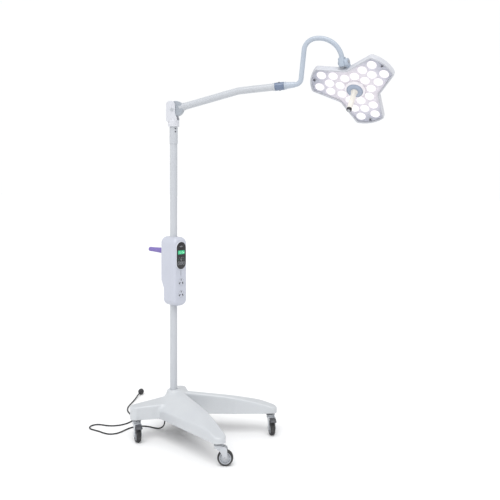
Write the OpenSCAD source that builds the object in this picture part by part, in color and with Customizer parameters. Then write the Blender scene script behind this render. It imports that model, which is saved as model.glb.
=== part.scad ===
// Mobile examination lamp: petal-shaped LED head on a friction-held arm, pole, control box and
// castered four-leg base. Millimetres, +Z up. The origin is on the floor under the pole,
// +X points ahead between the two long legs.

/* [Base] */
// Distance of the front caster stems ahead of the pole
front_x = 443; // [423:5:458]
// Distance of the front caster stems from the centre line
front_y = 250; // [240:2:254]
// Distance of the rear caster stems behind the pole
rear_x = 95; // [85:5:110]
// Distance of the rear caster stems from the centre line
rear_y = 188; // [182:2:200]
// Height of the underside of the legs
leg_z = 108; // [108:1:110]
// Height of the hub where the pole enters
hub_z = 223; // [215:1:235]
// Wall of the moulded base cover
cover_wall = 4; // [3:0.5:5]

/* [Casters] */
// Tyre diameter
wheel_d = 75; // [73:0.5:76]
// Tyre width
wheel_w = 26; // [22:1:27]
// Distance of the axle from the swivel axis
trail = 31; // [28:1:32]

/* [Column] */
// Pole outside diameter
pole_d = 38; // [36:1:38]
// Height of the top of the pole
pole_top = 1570; // [1550:5:1580]
// Height of the underside of the swivel head
swivel_z = 1602; // [1598:1:1606]

/* [Arm] */
// Direction of the arm, turned left from straight ahead
arm_yaw = 19; // [0:1:60]
// Rise of the first straight of the arm
arm_pitch = 14.5; // [0:0.5:30]
// Arm tube outside diameter
arm_d = 37; // [34:1:38]
// Neck tube outside diameter
neck_d = 25; // [24:0.5:26]

/* [Head] */
// Swing of the head about the end of the neck
head_swing = 70; // [40:1:80]
// Tilt of the head about its hinge
head_tilt = 46; // [0:1:80]
// Distance from the centre of the head to the middle of a lobe's end
lobe_reach = 236; // [232:1:240]
// Depth of the head from its face to its back
head_depth = 38; // [36:1:42]
// Diameter of one lens at its face
lens_d = 48; // [44:1:49]
// Length of the handle grip
grip_len = 122; // [110:1:130]

/* [Control box] */
// Direction the control panel faces, turned left from straight ahead
box_yaw = -14.5; // [-45:0.5:45]
// Width of the box
box_w = 82; // [80:1:90]
// Depth of the box
box_l = 118; // [112:1:124]
// Height of the underside of the box
box_z0 = 669; // [660:1:680]
// Height of the top of the box
box_z1 = 1026; // [1016:1:1036]

/* [Cord] */
// Cord diameter
cord_d = 7; // [7:0.1:7.2]

/* [Hidden] */
$fn = 48;
soft_fn = 24;
tube_sides = 16;

// Running and clearance fits, on the radius
run = 0.05;
gap = 0.3;
eps = 0.01;

// Caster stems as [x, y, heading of the trailing wheel]
stem_fl = [front_x, front_y, -50];
stem_fr = [front_x, -front_y, 28];
stem_rl = [-rear_x, rear_y, 165];
stem_rr = [-rear_x, -rear_y, -40];
stems = [stem_fl, stem_fr, stem_rl, stem_rr];
wheel_r = wheel_d / 2;
stem_r = 6;
ring_h = 7;
ring_r = 20;
fork_top = leg_z - ring_h - gap;
fork_crown = wheel_d + 6;
fork_inner = wheel_w / 2 + 1.2;
fork_wall = 4;
hub_rim_r = wheel_r - 9;
axle_r = 5;

// Legs: root and tip blocks as [x, y, radius, top height]
root_x = 12;
root_y = 84;
root_r = 47;
root_top = 182;
hub_r = 31;
mid_share = 0.63;
mid_r = 38;
mid_top = 193;
tip_r = 32;
long_tip_top = 146;
short_tip_top = 176;
pole_bore_z = 118;
ballast_z = 129;
bar_w = 36;
bar_h = 18;
pedal_pin_r = 2;
pedal_pin_x = trail + 8;
pedal_pin_z = wheel_d + 11;
pedal_half = 14;

// Column and swivel
pole_r = pole_d / 2;
spindle_r = 12;
swivel_r = 29;
swivel_h = 36;
pivot_x = -2;
pivot_z = 1692;
cheek_in = 17.5;
cheek_out = 25;
bolt_r = 6;

// Arm and neck runs as [straight, bend radius, bend angle]; a positive bend turns upwards
arm_run = [[348, 180, -9.5], [175, 0, 0]];
arm_root = 48;
arm_tube_run = [[arm_run[0][0] - arm_root, 180, -9.5], arm_run[1]];
arm_wall = 2.5;
neck_run = [[44, 32, 79], [147, 62, -74], [0, 120, -92.7], [15, 0, 0]];
neck_bend = [for (i = [0:2]) neck_run[i]];
arm_r = arm_d / 2;
neck_r = neck_d / 2;
collar_l = 48;
collar_r = 21;
neck_start = 62;

// Head hinge: side offset and drop from the neck's end, then reach to the head's centre
hinge_side = 12;
hinge_drop = 24;
hinge_reach = 156;
hinge_back = 28;
tilt_pin_r = 5;
knuckle_r = 20;
flat_y = -16;

// Head outline and the places of the lenses in one lobe as [out along the lobe, sideways]
lobe_arc_r = 168;
lobe_half = 27.5;
notch_r = 126;
lens_places = [[182, 39.5], [182, -39.5], [122, 52], [122, -52], [62, 54], [62, -54],
    [134.6, 0], [79.6, 0]];
boss_r = 53;
post_r = 9;
grip_r = 14;
grip_z = -26;

// Control box
box_wall = 3;
box_round = 30;
box_split = 20;
panel_z = 931;
panel_r = 31;
panel_half = 40;
display_z = 948;
button_z = 892;
button_r = 5.5;
outlet_zs = [795, 733];
grip_height = 946;
grip_end = 205;

// Cord: hand-set route from the base down to the floor and away to the plug
cord_r = cord_d / 2;
cord_x = -50;
cord_y = -11;
cord_route = [
    [-50, -11, 74], [-50, -11, 54], [-54, -11, 34], [-68, -11, 16], [-92, -11, 6],
    [-122, -11, 3.6], [-150, -11, 3.6], [-174, -14, 3.6], [-198, -26, 3.6], [-220, -50, 3.6],
    [-230, -82, 3.6],
    [-232, -116, 3.6], [-232, -150, 3.6], [-240, -182, 3.6], [-264, -203, 3.6], [-298, -206, 3.6],
    [-334, -200, 3.6], [-370, -198, 3.6], [-402, -194, 3.6], [-424, -176, 3.6], [-430, -150, 3.6],
    [-416, -126, 3.6], [-388, -116, 3.6], [-354, -110, 3.6], [-322, -92, 3.6], [-300, -62, 3.6],
    [-290, -26, 3.6], [-292, 12, 3.6], [-310, 48, 3.6], [-342, 78, 3.6], [-380, 102, 3.6],
    [-418, 130, 3.6], [-450, 166, 3.6], [-474, 208, 3.6], [-494, 254, 3.6], [-512, 300, 5],
    [-528, 341, 10], [-540, 372, 15], [-550, 397, 17]
];
plug_from = cord_route[len(cord_route) - 1];
plug_yaw = 111.8;

// ---- helpers ------------------------------------------------------------------

module at_pivot() {
    rotate([0, 0, arm_yaw])
    translate([pivot_x, 0, pivot_z])
        rotate([0, -arm_pitch, 0])
            children();
}

module straight(r, length) {
    rotate([0, 90, 0])
        cylinder(r = r, h = length);
}

module after_bend(bend_r, angle) {
    side = angle > 0 ? 1 : -1;
    translate([bend_r * sin(abs(angle)), 0, side * bend_r * (1 - cos(angle))])
        rotate([0, -angle, 0])
            children();
}

// Centre line of a run in its own XZ plane, as [x, z, direction] at each ring
function run_rings(path, i = 0, x = 0, z = 0, a = 0) =
    i == len(path) ? [] :
    let (x1 = x + path[i][0] * cos(a), z1 = z + path[i][0] * sin(a),
        turn = path[i][2], bend_r = sign(turn) * path[i][1], n = ceil(abs(turn) / 12),
        bend = [for (k = [1:1:n]) let (b = a + turn * k / n)
            [x1 + bend_r * (sin(b) - sin(a)), z1 + bend_r * (cos(a) - cos(b)), b]],
        last = n > 0 ? bend[n - 1] : [x1, z1, a])
    concat(path[i][0] > 0 ? [[x1, z1, a]] : [], bend,
        run_rings(path, i + 1, last[0], last[1], last[2]));

// Hollow tube swept along a run of straights and bends from the origin along +X
module tube_run(path, r, wall) {
    rings = concat([[0, 0, 0]], run_rings(path));
    n = len(rings);
    points = [for (c = rings, q = [r, r - wall], k = [0:tube_sides - 1])
        let (t = 360 * k / tube_sides)
        [c[0] - q * sin(t) * sin(c[2]), q * cos(t), c[1] + q * sin(t) * cos(c[2])]];
    step = 2 * tube_sides;
    outer = [for (i = [0:n - 2], k = [0:tube_sides - 1]) let (k2 = (k + 1) % tube_sides)
        [i * step + k, (i + 1) * step + k, (i + 1) * step + k2, i * step + k2]];
    inner = [for (i = [0:n - 2], k = [0:tube_sides - 1])
        let (k2 = (k + 1) % tube_sides, o = tube_sides)
        [i * step + o + k, i * step + o + k2, (i + 1) * step + o + k2, (i + 1) * step + o + k]];
    start = [for (k = [0:tube_sides - 1]) let (k2 = (k + 1) % tube_sides)
        [k, k2, tube_sides + k2, tube_sides + k]];
    end = [for (k = [0:tube_sides - 1])
        let (k2 = (k + 1) % tube_sides, e = (n - 1) * step)
        [e + k, e + tube_sides + k, e + tube_sides + k2, e + k2]];
    polyhedron(points = points, faces = concat(outer, inner, start, end));
}

module at_run_end(path, i = 0) {
    if (i < len(path))
        translate([path[i][0], 0, 0])
            after_bend(path[i][1], path[i][2])
                at_run_end(path, i + 1)
                    children();
    else
        children();
}

module at_arm_end() {
    at_pivot()
        at_run_end(arm_run)
            children();
}

// The neck's end, with -Z along the neck's last direction
module at_neck_end() {
    at_arm_end()
        translate([neck_start, 0, 0])
            at_run_end(neck_bend)
                rotate([0, -90, 0])
                    children();
}

module at_head_sleeve() {
    at_neck_end()
        rotate([0, 0, head_swing])
            children();
}

// The head's own frame: centre of the face, +X away from the hinge, +Z out of the back
module at_head() {
    at_head_sleeve()
        translate([0, -hinge_side, -hinge_drop])
            rotate([0, head_tilt, 0])
                translate([hinge_reach, 0, -hinge_back])
                    children();
}

module at_box() {
    rotate([0, 0, box_yaw])
        children();
}

module slab(x0, x1, y0, y1, z0, z1) {
    translate([x0, y0, z0])
        cube([x1 - x0, y1 - y0, z1 - z0]);
}

// ---- base ---------------------------------------------------------------------

// Round block standing on the leg plane with a softly domed top
module leg_block(x, y, r, top, crown) {
    translate([x, y, leg_z]) {
        cylinder(r = r, h = top - leg_z - crown, $fn = soft_fn);
        translate([0, 0, top - leg_z - crown])
            scale([1, 1, crown / r])
                sphere(r = r, $fn = soft_fn);
    }
}

// Long leg, arched from the hub to its tip
module long_leg(stem, inset) {
    hull() {
        leg_block(0, 0, hub_r - inset, hub_z - inset, 8);
        leg_block(root_x, sign(stem[1]) * root_y, root_r - inset, root_top - inset, 30);
        leg_block(mid_share * stem[0], mid_share * stem[1], mid_r - inset, mid_top - inset, 16);
        leg_block(stem[0], stem[1], tip_r - inset, long_tip_top - inset, 14);
    }
}

module short_leg(stem, inset) {
    hull() {
        leg_block(0, 0, root_r - inset, root_top - inset, 12);
        leg_block(-root_x, sign(stem[1]) * root_y, root_r - inset, root_top - inset, 30);
        leg_block(stem[0], stem[1], tip_r - inset, short_tip_top - inset, 14);
    }
}

module base_shape(inset) {
    long_leg(stem_fl, inset);
    long_leg(stem_fr, inset);
    short_leg(stem_rl, inset);
    short_leg(stem_rr, inset);
    hull()
        for (x = [-20, 44], y = [-70, 70])
            leg_block(x, y, root_r - inset, 172 - inset, 24);
}

module base_cover() {
    color([0.93, 0.94, 0.95])
        difference() {
            base_shape(0);
            translate([0, 0, -eps])
                base_shape(cover_wall);
            translate([0, 0, hub_z - 20])
                cylinder(r = pole_r + gap, h = 40);
        }
}

module leg_bar(stem) {
    length = norm([stem[0], stem[1]]);
    rotate([0, 0, atan2(stem[1], stem[0])])
        slab(40, length + 15, -bar_w / 2, bar_w / 2, leg_z + 1, leg_z + 1 + bar_h);
}

module base_frame() {
    color([0.35, 0.36, 0.38])
        difference() {
            union() {
                for (s = stems)
                    leg_bar(s);
                translate([0, 0, leg_z + 1])
                    cylinder(r = 62, h = bar_h + 1);
                translate([0, 0, leg_z + 1])
                    cylinder(r = 26, h = hub_z - leg_z - 18);
            }
            translate([0, 0, pole_bore_z])
                cylinder(r = pole_r, h = hub_z);
            for (s = stems)
                translate([s[0], s[1], 0])
                    cylinder(r = 12, h = hub_z);
            translate([cord_x, cord_y, 0])
                cylinder(r = 6, h = hub_z);
        }
}

// Two cast weights, one on each side of the pole socket
module ballast_plate() {
    color([0.25, 0.26, 0.28])
        for (side = [-1, 1])
            scale([1, side, 1])
                difference() {
                    slab(-26, 66, 30, 100, ballast_z, ballast_z + 26);
                    translate([66, 100, 0])
                        cylinder(r = 12, h = 300);
                }
}

// Steel sleeves with black rings under the legs, one above each caster
module caster_sockets() {
    color([0.1, 0.1, 0.11])
        for (s = stems)
            translate([s[0], s[1], 0])
                difference() {
                    union() {
                        translate([0, 0, leg_z - ring_h])
                            cylinder(r = ring_r, h = ring_h);
                        translate([0, 0, leg_z - eps])
                            cylinder(r = 12, h = 24);
                    }
                    translate([0, 0, leg_z - ring_h - 1])
                        cylinder(r = stem_r + run, h = 27);
                }
}

module pan_screw(r, head_h, shank) {
    cylinder(r = r, h = head_h);
    translate([0, 0, -shank])
        cylinder(r = r * 0.5, h = shank + eps);
}

module at_sleeve_screws() {
    for (z = [swivel_z - 10, swivel_z - 26])
        translate([0, 0, z])
            rotate([90, 0, 62])
                translate([0, 0, pole_r + 2.3])
                    children();
}

module at_box_screws() {
    for (y = [-9, 9])
        translate([31, y, box_z0])
            rotate([180, 0, 0])
                children();
}

// The sleeve screws and the screws under the control box
module housing_screws() {
    color([0.3, 0.3, 0.32]) {
        at_sleeve_screws()
            pan_screw(4, 1.6, 2);
        at_box()
            at_box_screws()
                pan_screw(3.5, 1.5, 2);
    }
}

// ---- casters ------------------------------------------------------------------

module at_caster(stem) {
    translate([stem[0], stem[1], 0])
        rotate([0, 0, stem[2]])
            children();
}

module caster_fork(stem, braked = false) {
    color([0.78, 0.79, 0.8])
        at_caster(stem)
            difference() {
                union() {
                    translate([0, 0, fork_crown])
                        cylinder(r = 21, h = fork_top - fork_crown);
                    slab(0, trail + 2, -fork_inner - fork_wall, fork_inner + fork_wall,
                        fork_crown, fork_crown + 5);
                    for (side = [-1, 1])
                        scale([1, side, 1])
                            translate([0, fork_inner + fork_wall, 0])
                                rotate([90, 0, 0])
                                    linear_extrude(fork_wall)
                                        polygon([[-6, fork_crown + 5], [trail + 2, fork_crown + 5],
                                            [trail + 12, wheel_r], [trail, wheel_r - 11],
                                            [trail - 11, wheel_r - 4]]);
                    if (braked)
                        for (side = [-1, 1])
                            scale([1, side, 1])
                                slab(trail, trail + 14, pedal_half + gap,
                                    fork_inner + fork_wall, fork_crown, pedal_pin_z + 5);
                }
                if (braked)
                    translate([pedal_pin_x, 0, pedal_pin_z])
                        rotate([90, 0, 0])
                            cylinder(r = pedal_pin_r, h = 80, center = true);
                translate([trail, 0, wheel_r])
                    rotate([90, 0, 0])
                        cylinder(r = axle_r, h = 80, center = true);
                cylinder(r = stem_r, h = 300);
            }
}

// Swivel stem and wheel bolt of one caster
module caster_axle(stem, braked = false) {
    color([0.6, 0.61, 0.63])
        at_caster(stem) {
            translate([0, 0, fork_crown])
                cylinder(r = stem_r, h = 42);
            translate([trail, 0, wheel_r])
                rotate([90, 0, 0])
                    cylinder(r = axle_r, h = 2 * (fork_inner + fork_wall), center = true);
            for (side = [-1, 1])
                translate([trail, side * (fork_inner + fork_wall + 1.5), wheel_r])
                    rotate([90, 0, 0])
                        cylinder(r = 8, h = 3, center = true);
            if (braked)
                translate([pedal_pin_x, 0, pedal_pin_z])
                    rotate([90, 0, 0])
                        cylinder(r = pedal_pin_r, h = 2 * (fork_inner + fork_wall), center = true);
        }
}

module caster_hub(stem) {
    color([0.72, 0.73, 0.75])
        at_caster(stem)
            translate([trail, 0, wheel_r])
                rotate([90, 0, 0])
                    difference() {
                        union() {
                            cylinder(r = hub_rim_r, h = wheel_w - 8, center = true);
                            cylinder(r = 10, h = wheel_w, center = true);
                        }
                        for (side = [-1, 1])
                            translate([0, 0, side * (wheel_w / 2 - 4)])
                                rotate_extrude()
                                    translate([18, 0])
                                        square([11, 7], center = true);
                        cylinder(r = axle_r + run, h = 60, center = true);
                    }
}

module caster_tyre(stem) {
    color([0.07, 0.07, 0.08])
        at_caster(stem)
            translate([trail, 0, wheel_r])
                rotate([90, 0, 0])
                    rotate_extrude()
                        polygon([[hub_rim_r, -wheel_w / 2 + 2], [hub_rim_r + 3, -wheel_w / 2],
                            [wheel_r - 4, -wheel_w / 2], [wheel_r - 1, -wheel_w / 2 + 3],
                            [wheel_r, -wheel_w / 2 + 7], [wheel_r, wheel_w / 2 - 7],
                            [wheel_r - 1, wheel_w / 2 - 3], [wheel_r - 4, wheel_w / 2],
                            [hub_rim_r + 3, wheel_w / 2], [hub_rim_r, wheel_w / 2 - 2]]);
}

// Foot lever over the wheel, hinged between the ears of the fork
module brake_pedal(stem) {
    color([0.2, 0.2, 0.22])
        at_caster(stem)
            difference() {
                union() {
                    slab(pedal_pin_x, trail + 40, -pedal_half, pedal_half,
                        pedal_pin_z - 2, pedal_pin_z + 3);
                    slab(trail + 32, trail + 46, -pedal_half - 3, pedal_half + 3,
                        pedal_pin_z - 8, pedal_pin_z + 1);
                    translate([pedal_pin_x, 0, pedal_pin_z])
                        rotate([90, 0, 0])
                            cylinder(r = 5, h = 2 * pedal_half, center = true);
                }
                translate([pedal_pin_x, 0, pedal_pin_z])
                    rotate([90, 0, 0])
                        cylinder(r = pedal_pin_r + run, h = 80, center = true);
            }
}

// ---- column and swivel --------------------------------------------------------

module pole() {
    color([0.9, 0.91, 0.92])
        translate([0, 0, pole_bore_z])
            difference() {
                cylinder(r = pole_r, h = pole_top - pole_bore_z);
                translate([0, 0, -1])
                    cylinder(r = pole_r - 2, h = pole_top);
            }
}

module pole_sleeve() {
    color([0.88, 0.89, 0.9])
        difference() {
            translate([0, 0, swivel_z - 90])
                cylinder(r = pole_r + 2.3, h = 90 - gap);
            translate([0, 0, swivel_z - 95])
                cylinder(r = pole_r, h = pole_top - swivel_z + 95);
            cylinder(r = spindle_r, h = swivel_z + 10);
            at_sleeve_screws()
                cylinder(r = 2, h = 8, center = true);
        }
}

module swivel_spindle() {
    color([0.65, 0.66, 0.68])
        difference() {
            union() {
                translate([0, 0, pole_top - 60])
                    cylinder(r = spindle_r, h = swivel_z + 30 - pole_top + 60);
                translate([0, 0, pole_top - 60])
                    cylinder(r = pole_r - 2, h = 12);
            }
            cylinder(r = 6, h = 2000);
        }
}

// Turning head of the column with the two cheeks that hold the arm
module swivel_yoke() {
    color([0.86, 0.87, 0.89])
        rotate([0, 0, arm_yaw])
            difference() {
                union() {
                    translate([0, 0, swivel_z])
                        cylinder(r = swivel_r, h = swivel_h);
                    slab(-34, 14, -cheek_out, cheek_out, swivel_z + swivel_h - 8, 1713);
                    translate([-10, 0, 1713])
                        rotate([90, 0, 0])
                            cylinder(r = 24, h = 2 * cheek_out, center = true);
                }
                slab(-31, 40, -cheek_in, cheek_in, swivel_z + swivel_h, 1800);
                translate([0, 0, swivel_z - 1])
                    cylinder(r = spindle_r + run, h = swivel_h + 10);
                translate([pivot_x, 0, pivot_z])
                    rotate([90, 0, 0])
                        cylinder(r = bolt_r, h = 80, center = true);
            }
}

module hinge_bolt() {
    color([0.6, 0.61, 0.63])
        rotate([0, 0, arm_yaw])
            translate([pivot_x, 0, pivot_z])
                rotate([90, 0, 0]) {
                    cylinder(r = bolt_r, h = 2 * cheek_out, center = true);
                    for (side = [-1, 1])
                        translate([0, 0, side * (cheek_out + 1)])
                            cylinder(r = 9, h = 2, center = true);
                }
}

// ---- arm and neck -------------------------------------------------------------

module arm_tube() {
    color([0.9, 0.91, 0.93])
        at_pivot() {
            difference() {
                translate([18, 0, 0])
                    rotate([90, 0, 0])
                        cylinder(r = 40, h = 2 * (cheek_in - gap), center = true);
                rotate([90, 0, 0])
                    cylinder(r = bolt_r + run, h = 80, center = true);
            }
            translate([arm_root, 0, 0])
                tube_run(arm_tube_run, arm_r, arm_wall);
            at_run_end(arm_run)
                translate([-12, 0, 0])
                    difference() {
                        straight(arm_r + 1.5, 12);
                        translate([-1, 0, 0])
                            straight(arm_r - 1, 14);
                    }
        }
}

module arm_collar() {
    color([0.45, 0.52, 0.64])
        at_arm_end()
            difference() {
                straight(collar_r, collar_l);
                translate([-1, 0, 0])
                    straight(spindle_r + run, collar_l + 2);
            }
}

// Turning sleeve that carries the neck, with its spindle inside the collar
module neck_sleeve() {
    color([0.88, 0.89, 0.91])
        at_arm_end()
            difference() {
                union() {
                    translate([-20, 0, 0])
                        straight(spindle_r, collar_l + 30);
                    translate([collar_l + gap, 0, 0])
                        straight(collar_r - 1, 9);
                    translate([collar_l + 9, 0, 0])
                        rotate([0, 90, 0])
                            cylinder(r1 = 17.5, r2 = 14.5, h = 46);
                }
                translate([neck_start, 0, 0])
                    straight(neck_r, 60);
                translate([-21, 0, 0])
                    straight(7, 100);
            }
}

module gooseneck() {
    color([0.82, 0.84, 0.87])
        at_arm_end()
            translate([neck_start, 0, 0])
                tube_run(neck_run, neck_r, 2);
}

// Turning sleeve on the neck's end, with a flat side for the head's knuckle
module head_sleeve() {
    color([0.74, 0.79, 0.85])
        at_head_sleeve()
            difference() {
                union() {
                    translate([0, 0, -42])
                        cylinder(r = 21, h = 42);
                    cylinder(r = 18, h = 4);
                }
                slab(-30, 30, -40, flat_y, -60, 1);
                translate([0, 0, -16])
                    cylinder(r = neck_r + run, h = 16);
                translate([0, 0, -eps])
                    cylinder(r = neck_r + 1, h = 10);
                translate([0, -40, -hinge_drop])
                    rotate([-90, 0, 0])
                        cylinder(r = tilt_pin_r, h = 54);
            }
}

module tilt_pin() {
    color([0.6, 0.61, 0.63])
        at_head_sleeve()
            translate([0, -34, -hinge_drop])
                rotate([-90, 0, 0])
                    cylinder(r = tilt_pin_r, h = 48);
}

// ---- head ---------------------------------------------------------------------

lobe_centre = lobe_reach - lobe_arc_r;
lobe_points = [for (lobe = [0:120:240]) each concat(
    [for (a = [-lobe_half:5.5:lobe_half])
        [(lobe_centre + lobe_arc_r * cos(a)) * cos(lobe) - lobe_arc_r * sin(a) * sin(lobe),
         (lobe_centre + lobe_arc_r * cos(a)) * sin(lobe) + lobe_arc_r * sin(a) * cos(lobe)]],
    [[notch_r * cos(lobe + 60), notch_r * sin(lobe + 60)]])];

// Three-lobed outline, moved out by grow, with soft tips and notches
module head_outline(grow = 0) {
    offset(r = 16 + grow, $fn = soft_fn)
        offset(r = -46, $fn = soft_fn)
            offset(r = 30, $fn = soft_fn)
                polygon(lobe_points);
}

// Knuckle on the tilt pin and the block that grips the notch of the head
module head_bracket() {
    color([0.7, 0.75, 0.82])
        at_head()
            difference() {
                union() {
                    translate([-hinge_reach, hinge_side + flat_y - gap, hinge_back])
                        rotate([90, 0, 0])
                            cylinder(r = knuckle_r, h = 17);
                    slab(-hinge_reach, -112, hinge_side + flat_y - gap - 17,
                        hinge_side + flat_y - gap, 14, 36);
                    slab(-125, -112, -22, 22, 16, 36);
                }
                translate([-hinge_reach, -40, hinge_back])
                    rotate([-90, 0, 0])
                        cylinder(r = tilt_pin_r + run, h = 80);
            }
}

// Room for the sleeve in every tilt, as a ball round the hinge
module sleeve_room() {
    translate([-hinge_reach, hinge_side, hinge_back])
        sphere(r = 30);
}

module head_back() {
    color([0.93, 0.94, 0.96])
        at_head()
            difference() {
                intersection() {
                    translate([0, 0, -6])
                        minkowski() {
                            linear_extrude(head_depth - 6)
                                head_outline(-12);
                            sphere(r = 12, $fn = 16);
                        }
                    slab(-300, 300, -300, 300, 5, 60);
                }
                linear_extrude(head_depth - 8)
                    head_outline(-5);
                slab(-160, -112 + eps, -24, 24, 8, 60);
                sleeve_room();
            }
}

module head_bezel() {
    color([0.95, 0.96, 0.98])
        at_head()
            difference() {
                translate([0, 0, -3])
                    linear_extrude(8)
                        head_outline();
                translate([0, 0, -4])
                    linear_extrude(10)
                        head_outline(-9);
            }
}

module head_cover() {
    color([0.9, 0.93, 0.96, 0.4])
        at_head()
            difference() {
                linear_extrude(2.5)
                    head_outline(-9);
                translate([0, 0, -1])
                    cylinder(r = boss_r, h = 5);
                for (lobe = [0:120:240])
                    rotate([0, 0, lobe])
                        translate([214, 0, -1])
                            cylinder(r = 2, h = 5);
            }
}

module led_board() {
    color([0.8, 0.82, 0.84])
        at_head()
            translate([0, 0, 12])
                difference() {
                    linear_extrude(3)
                        head_outline(-18);
                    translate([0, 0, -1])
                        cylinder(r = 30, h = 6);
                }
}

module led_lenses() {
    color([1, 0.99, 0.97])
        at_head()
            for (lobe = [0:120:240], p = lens_places)
                rotate([0, 0, lobe])
                    translate([p[0], p[1], 3])
                        cylinder(r1 = lens_d / 2, r2 = 16, h = 9);
}

// Middle boss of the face with the post that the handle clips on
module centre_boss() {
    color([0.95, 0.94, 0.94])
        at_head()
            difference() {
                union() {
                    translate([0, 0, -8])
                        cylinder(r = boss_r, h = 12);
                    translate([0, 0, -14])
                        cylinder(r1 = 30, r2 = 40, h = 8);
                    translate([0, 0, -70])
                        cylinder(r = post_r, h = 62);
                    translate([0, 0, -5])
                        cylinder(r = 29.5, h = 17);
                }
                translate([0, 0, -71])
                    cylinder(r = 5, h = 90);
            }
}

module cover_screws() {
    color([0.4, 0.41, 0.43])
        at_head()
            for (lobe = [0:120:240])
                rotate([0, 0, lobe])
                    translate([214, 0, 0]) {
                        translate([0, 0, -2])
                            cylinder(r = 4, h = 2);
                        translate([0, 0, -1])
                            cylinder(r = 2, h = 12);
                    }
}

module handle_grip() {
    color([0.93, 0.9, 0.84])
        at_head()
            difference() {
                union() {
                    translate([0, 0, grip_z - grip_len])
                        cylinder(r = grip_r, h = grip_len);
                    translate([0, 0, grip_z])
                        cylinder(r1 = grip_r, r2 = 17, h = 8);
                }
                translate([0, 0, grip_z - 60])
                    cylinder(r = post_r + run, h = 80);
            }
}

module handle_cap() {
    color([0.05, 0.05, 0.06])
        at_head()
            translate([0, 0, grip_z - grip_len - 14])
                rotate_extrude()
                    polygon([[0, 0], [10, 0], [12.6, 2], [13.6, 5], [13.6, 14], [0, 14]]);
}

// ---- control box --------------------------------------------------------------

// Side outline of the box, narrower below, shrunk by inset
module box_outline(inset = 0) {
    offset(r = 18 - inset, $fn = 32)
        offset(delta = -18)
            polygon([[-box_l / 2, box_z1], [-box_l / 2, 798], [-box_l / 2 + 21, 756],
                [-box_l / 2 + 21, box_z0], [box_l / 2, box_z0], [box_l / 2, box_z1]]);
}

// Solid of the box, rounded in its side view and in its front view
module box_form(inset = 0) {
    intersection() {
        translate([0, box_w / 2 - inset, 0])
            rotate([90, 0, 0])
                linear_extrude(box_w - 2 * inset)
                    box_outline(inset);
        translate([-box_l, 0, 0])
            rotate([90, 0, 90])
                linear_extrude(2 * box_l)
                    offset(r = box_round - inset, $fn = 32)
                        translate([-box_w / 2 + box_round, box_z0 + box_round])
                            square([box_w - 2 * box_round, box_z1 - box_z0 - 2 * box_round]);
    }
}

module box_shell(x0, x1) {
    difference() {
        intersection() {
            box_form();
            slab(x0, x1, -box_w, box_w, 0, 2000);
        }
        box_form(box_wall);
        cylinder(r = pole_r + gap, h = 2000);
    }
}

module box_back() {
    color([0.92, 0.93, 0.95])
        at_box()
            difference() {
                box_shell(-100, box_split);
                translate([-100, 0, grip_height])
                    straight(8.3, 60);
            }
}

module box_front() {
    color([0.95, 0.95, 0.98])
        at_box()
            difference() {
                box_shell(box_split + 0.2, 100);
                for (y = [-16, 0, 16])
                    translate([40, y, button_z])
                        straight(button_r + gap, 40);
                slab(50, 100, -22, 22, display_z - 10, display_z + 10);
                for (z = outlet_zs)
                    slab(50, 100, -22, 22, z - 22, z + 22);
                at_box_screws()
                    cylinder(r = 1.75, h = 8, center = true);
            }
}

// Two clamp rings round the pole; the upper one carries the rod of the push grip
module box_clamp() {
    color([0.55, 0.56, 0.58])
        at_box() {
            for (z = [700, 985])
                translate([0, 0, z])
                    difference() {
                        union() {
                            cylinder(r = 25, h = 20, center = true);
                            slab(-34, -20, -10, 10, -10, 10);
                        }
                        cylinder(r = pole_r, h = 30, center = true);
                    }
            difference() {
                union() {
                    translate([0, 0, grip_height])
                        cylinder(r = 25, h = 24, center = true);
                    translate([-grip_end + 12, 0, grip_height])
                        straight(8, grip_end - 32);
                }
                translate([0, 0, grip_height])
                    cylinder(r = pole_r, h = 40, center = true);
            }
        }
}

module panel() {
    color([0.03, 0.03, 0.04])
        at_box()
            translate([box_l / 2, 0, panel_z])
                difference() {
                    union() {
                        for (z = [-panel_half, panel_half])
                            translate([0, 0, z])
                                straight(panel_r, 2);
                        slab(0, 2, -panel_r, panel_r, -panel_half, panel_half);
                    }
                    for (y = [-16, 0, 16])
                        translate([-1, y, button_z - panel_z])
                            straight(button_r + gap, 5);
                    slab(-1, 3, -22, 22, display_z - panel_z - 10, display_z - panel_z + 10);
                }
}

module display() {
    color([0.18, 0.85, 0.55])
        at_box()
            slab(box_l / 2 - 5, box_l / 2 + 1.2, -21.8, 21.8, display_z - 9.8, display_z + 9.8);
}

module round_button(y) {
    at_box()
        translate([box_l / 2 - 8, y, button_z]) {
            straight(button_r, 11.5);
            straight(button_r + 2, 3.5);
        }
}

module button_power() {
    color([0.9, 0.92, 0.94])
        round_button(-16);
}

module button_up() {
    color([0.9, 0.92, 0.94])
        round_button(0);
}

module button_down() {
    color([0.9, 0.92, 0.94])
        round_button(16);
}

// Two mains outlets let into the lower front
module outlets() {
    color([0.94, 0.94, 0.96])
        at_box()
            for (z = outlet_zs)
                translate([0, 0, z])
                    difference() {
                        slab(box_l / 2 - 12, box_l / 2 + 1.5, -22, 22, -22, 22);
                        for (side = [-1, 1])
                            translate([box_l / 2 - 6, side * 8, -6])
                                rotate([side * 30, 0, 0])
                                    slab(0, 20, -1.1, 1.1, -4.5, 4.5);
                        slab(box_l / 2 - 6, box_l / 2 + 20, -1.1, 1.1, 6, 15);
                    }
}

module power_pack() {
    color([0.2, 0.35, 0.25])
        at_box() {
            slab(-54, -27, -34, 34, 815, 935);
            slab(26, 29, -34, 34, 690, 1005);
            slab(29, 44, -20, 20, 960, 1000);
        }
}

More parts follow.
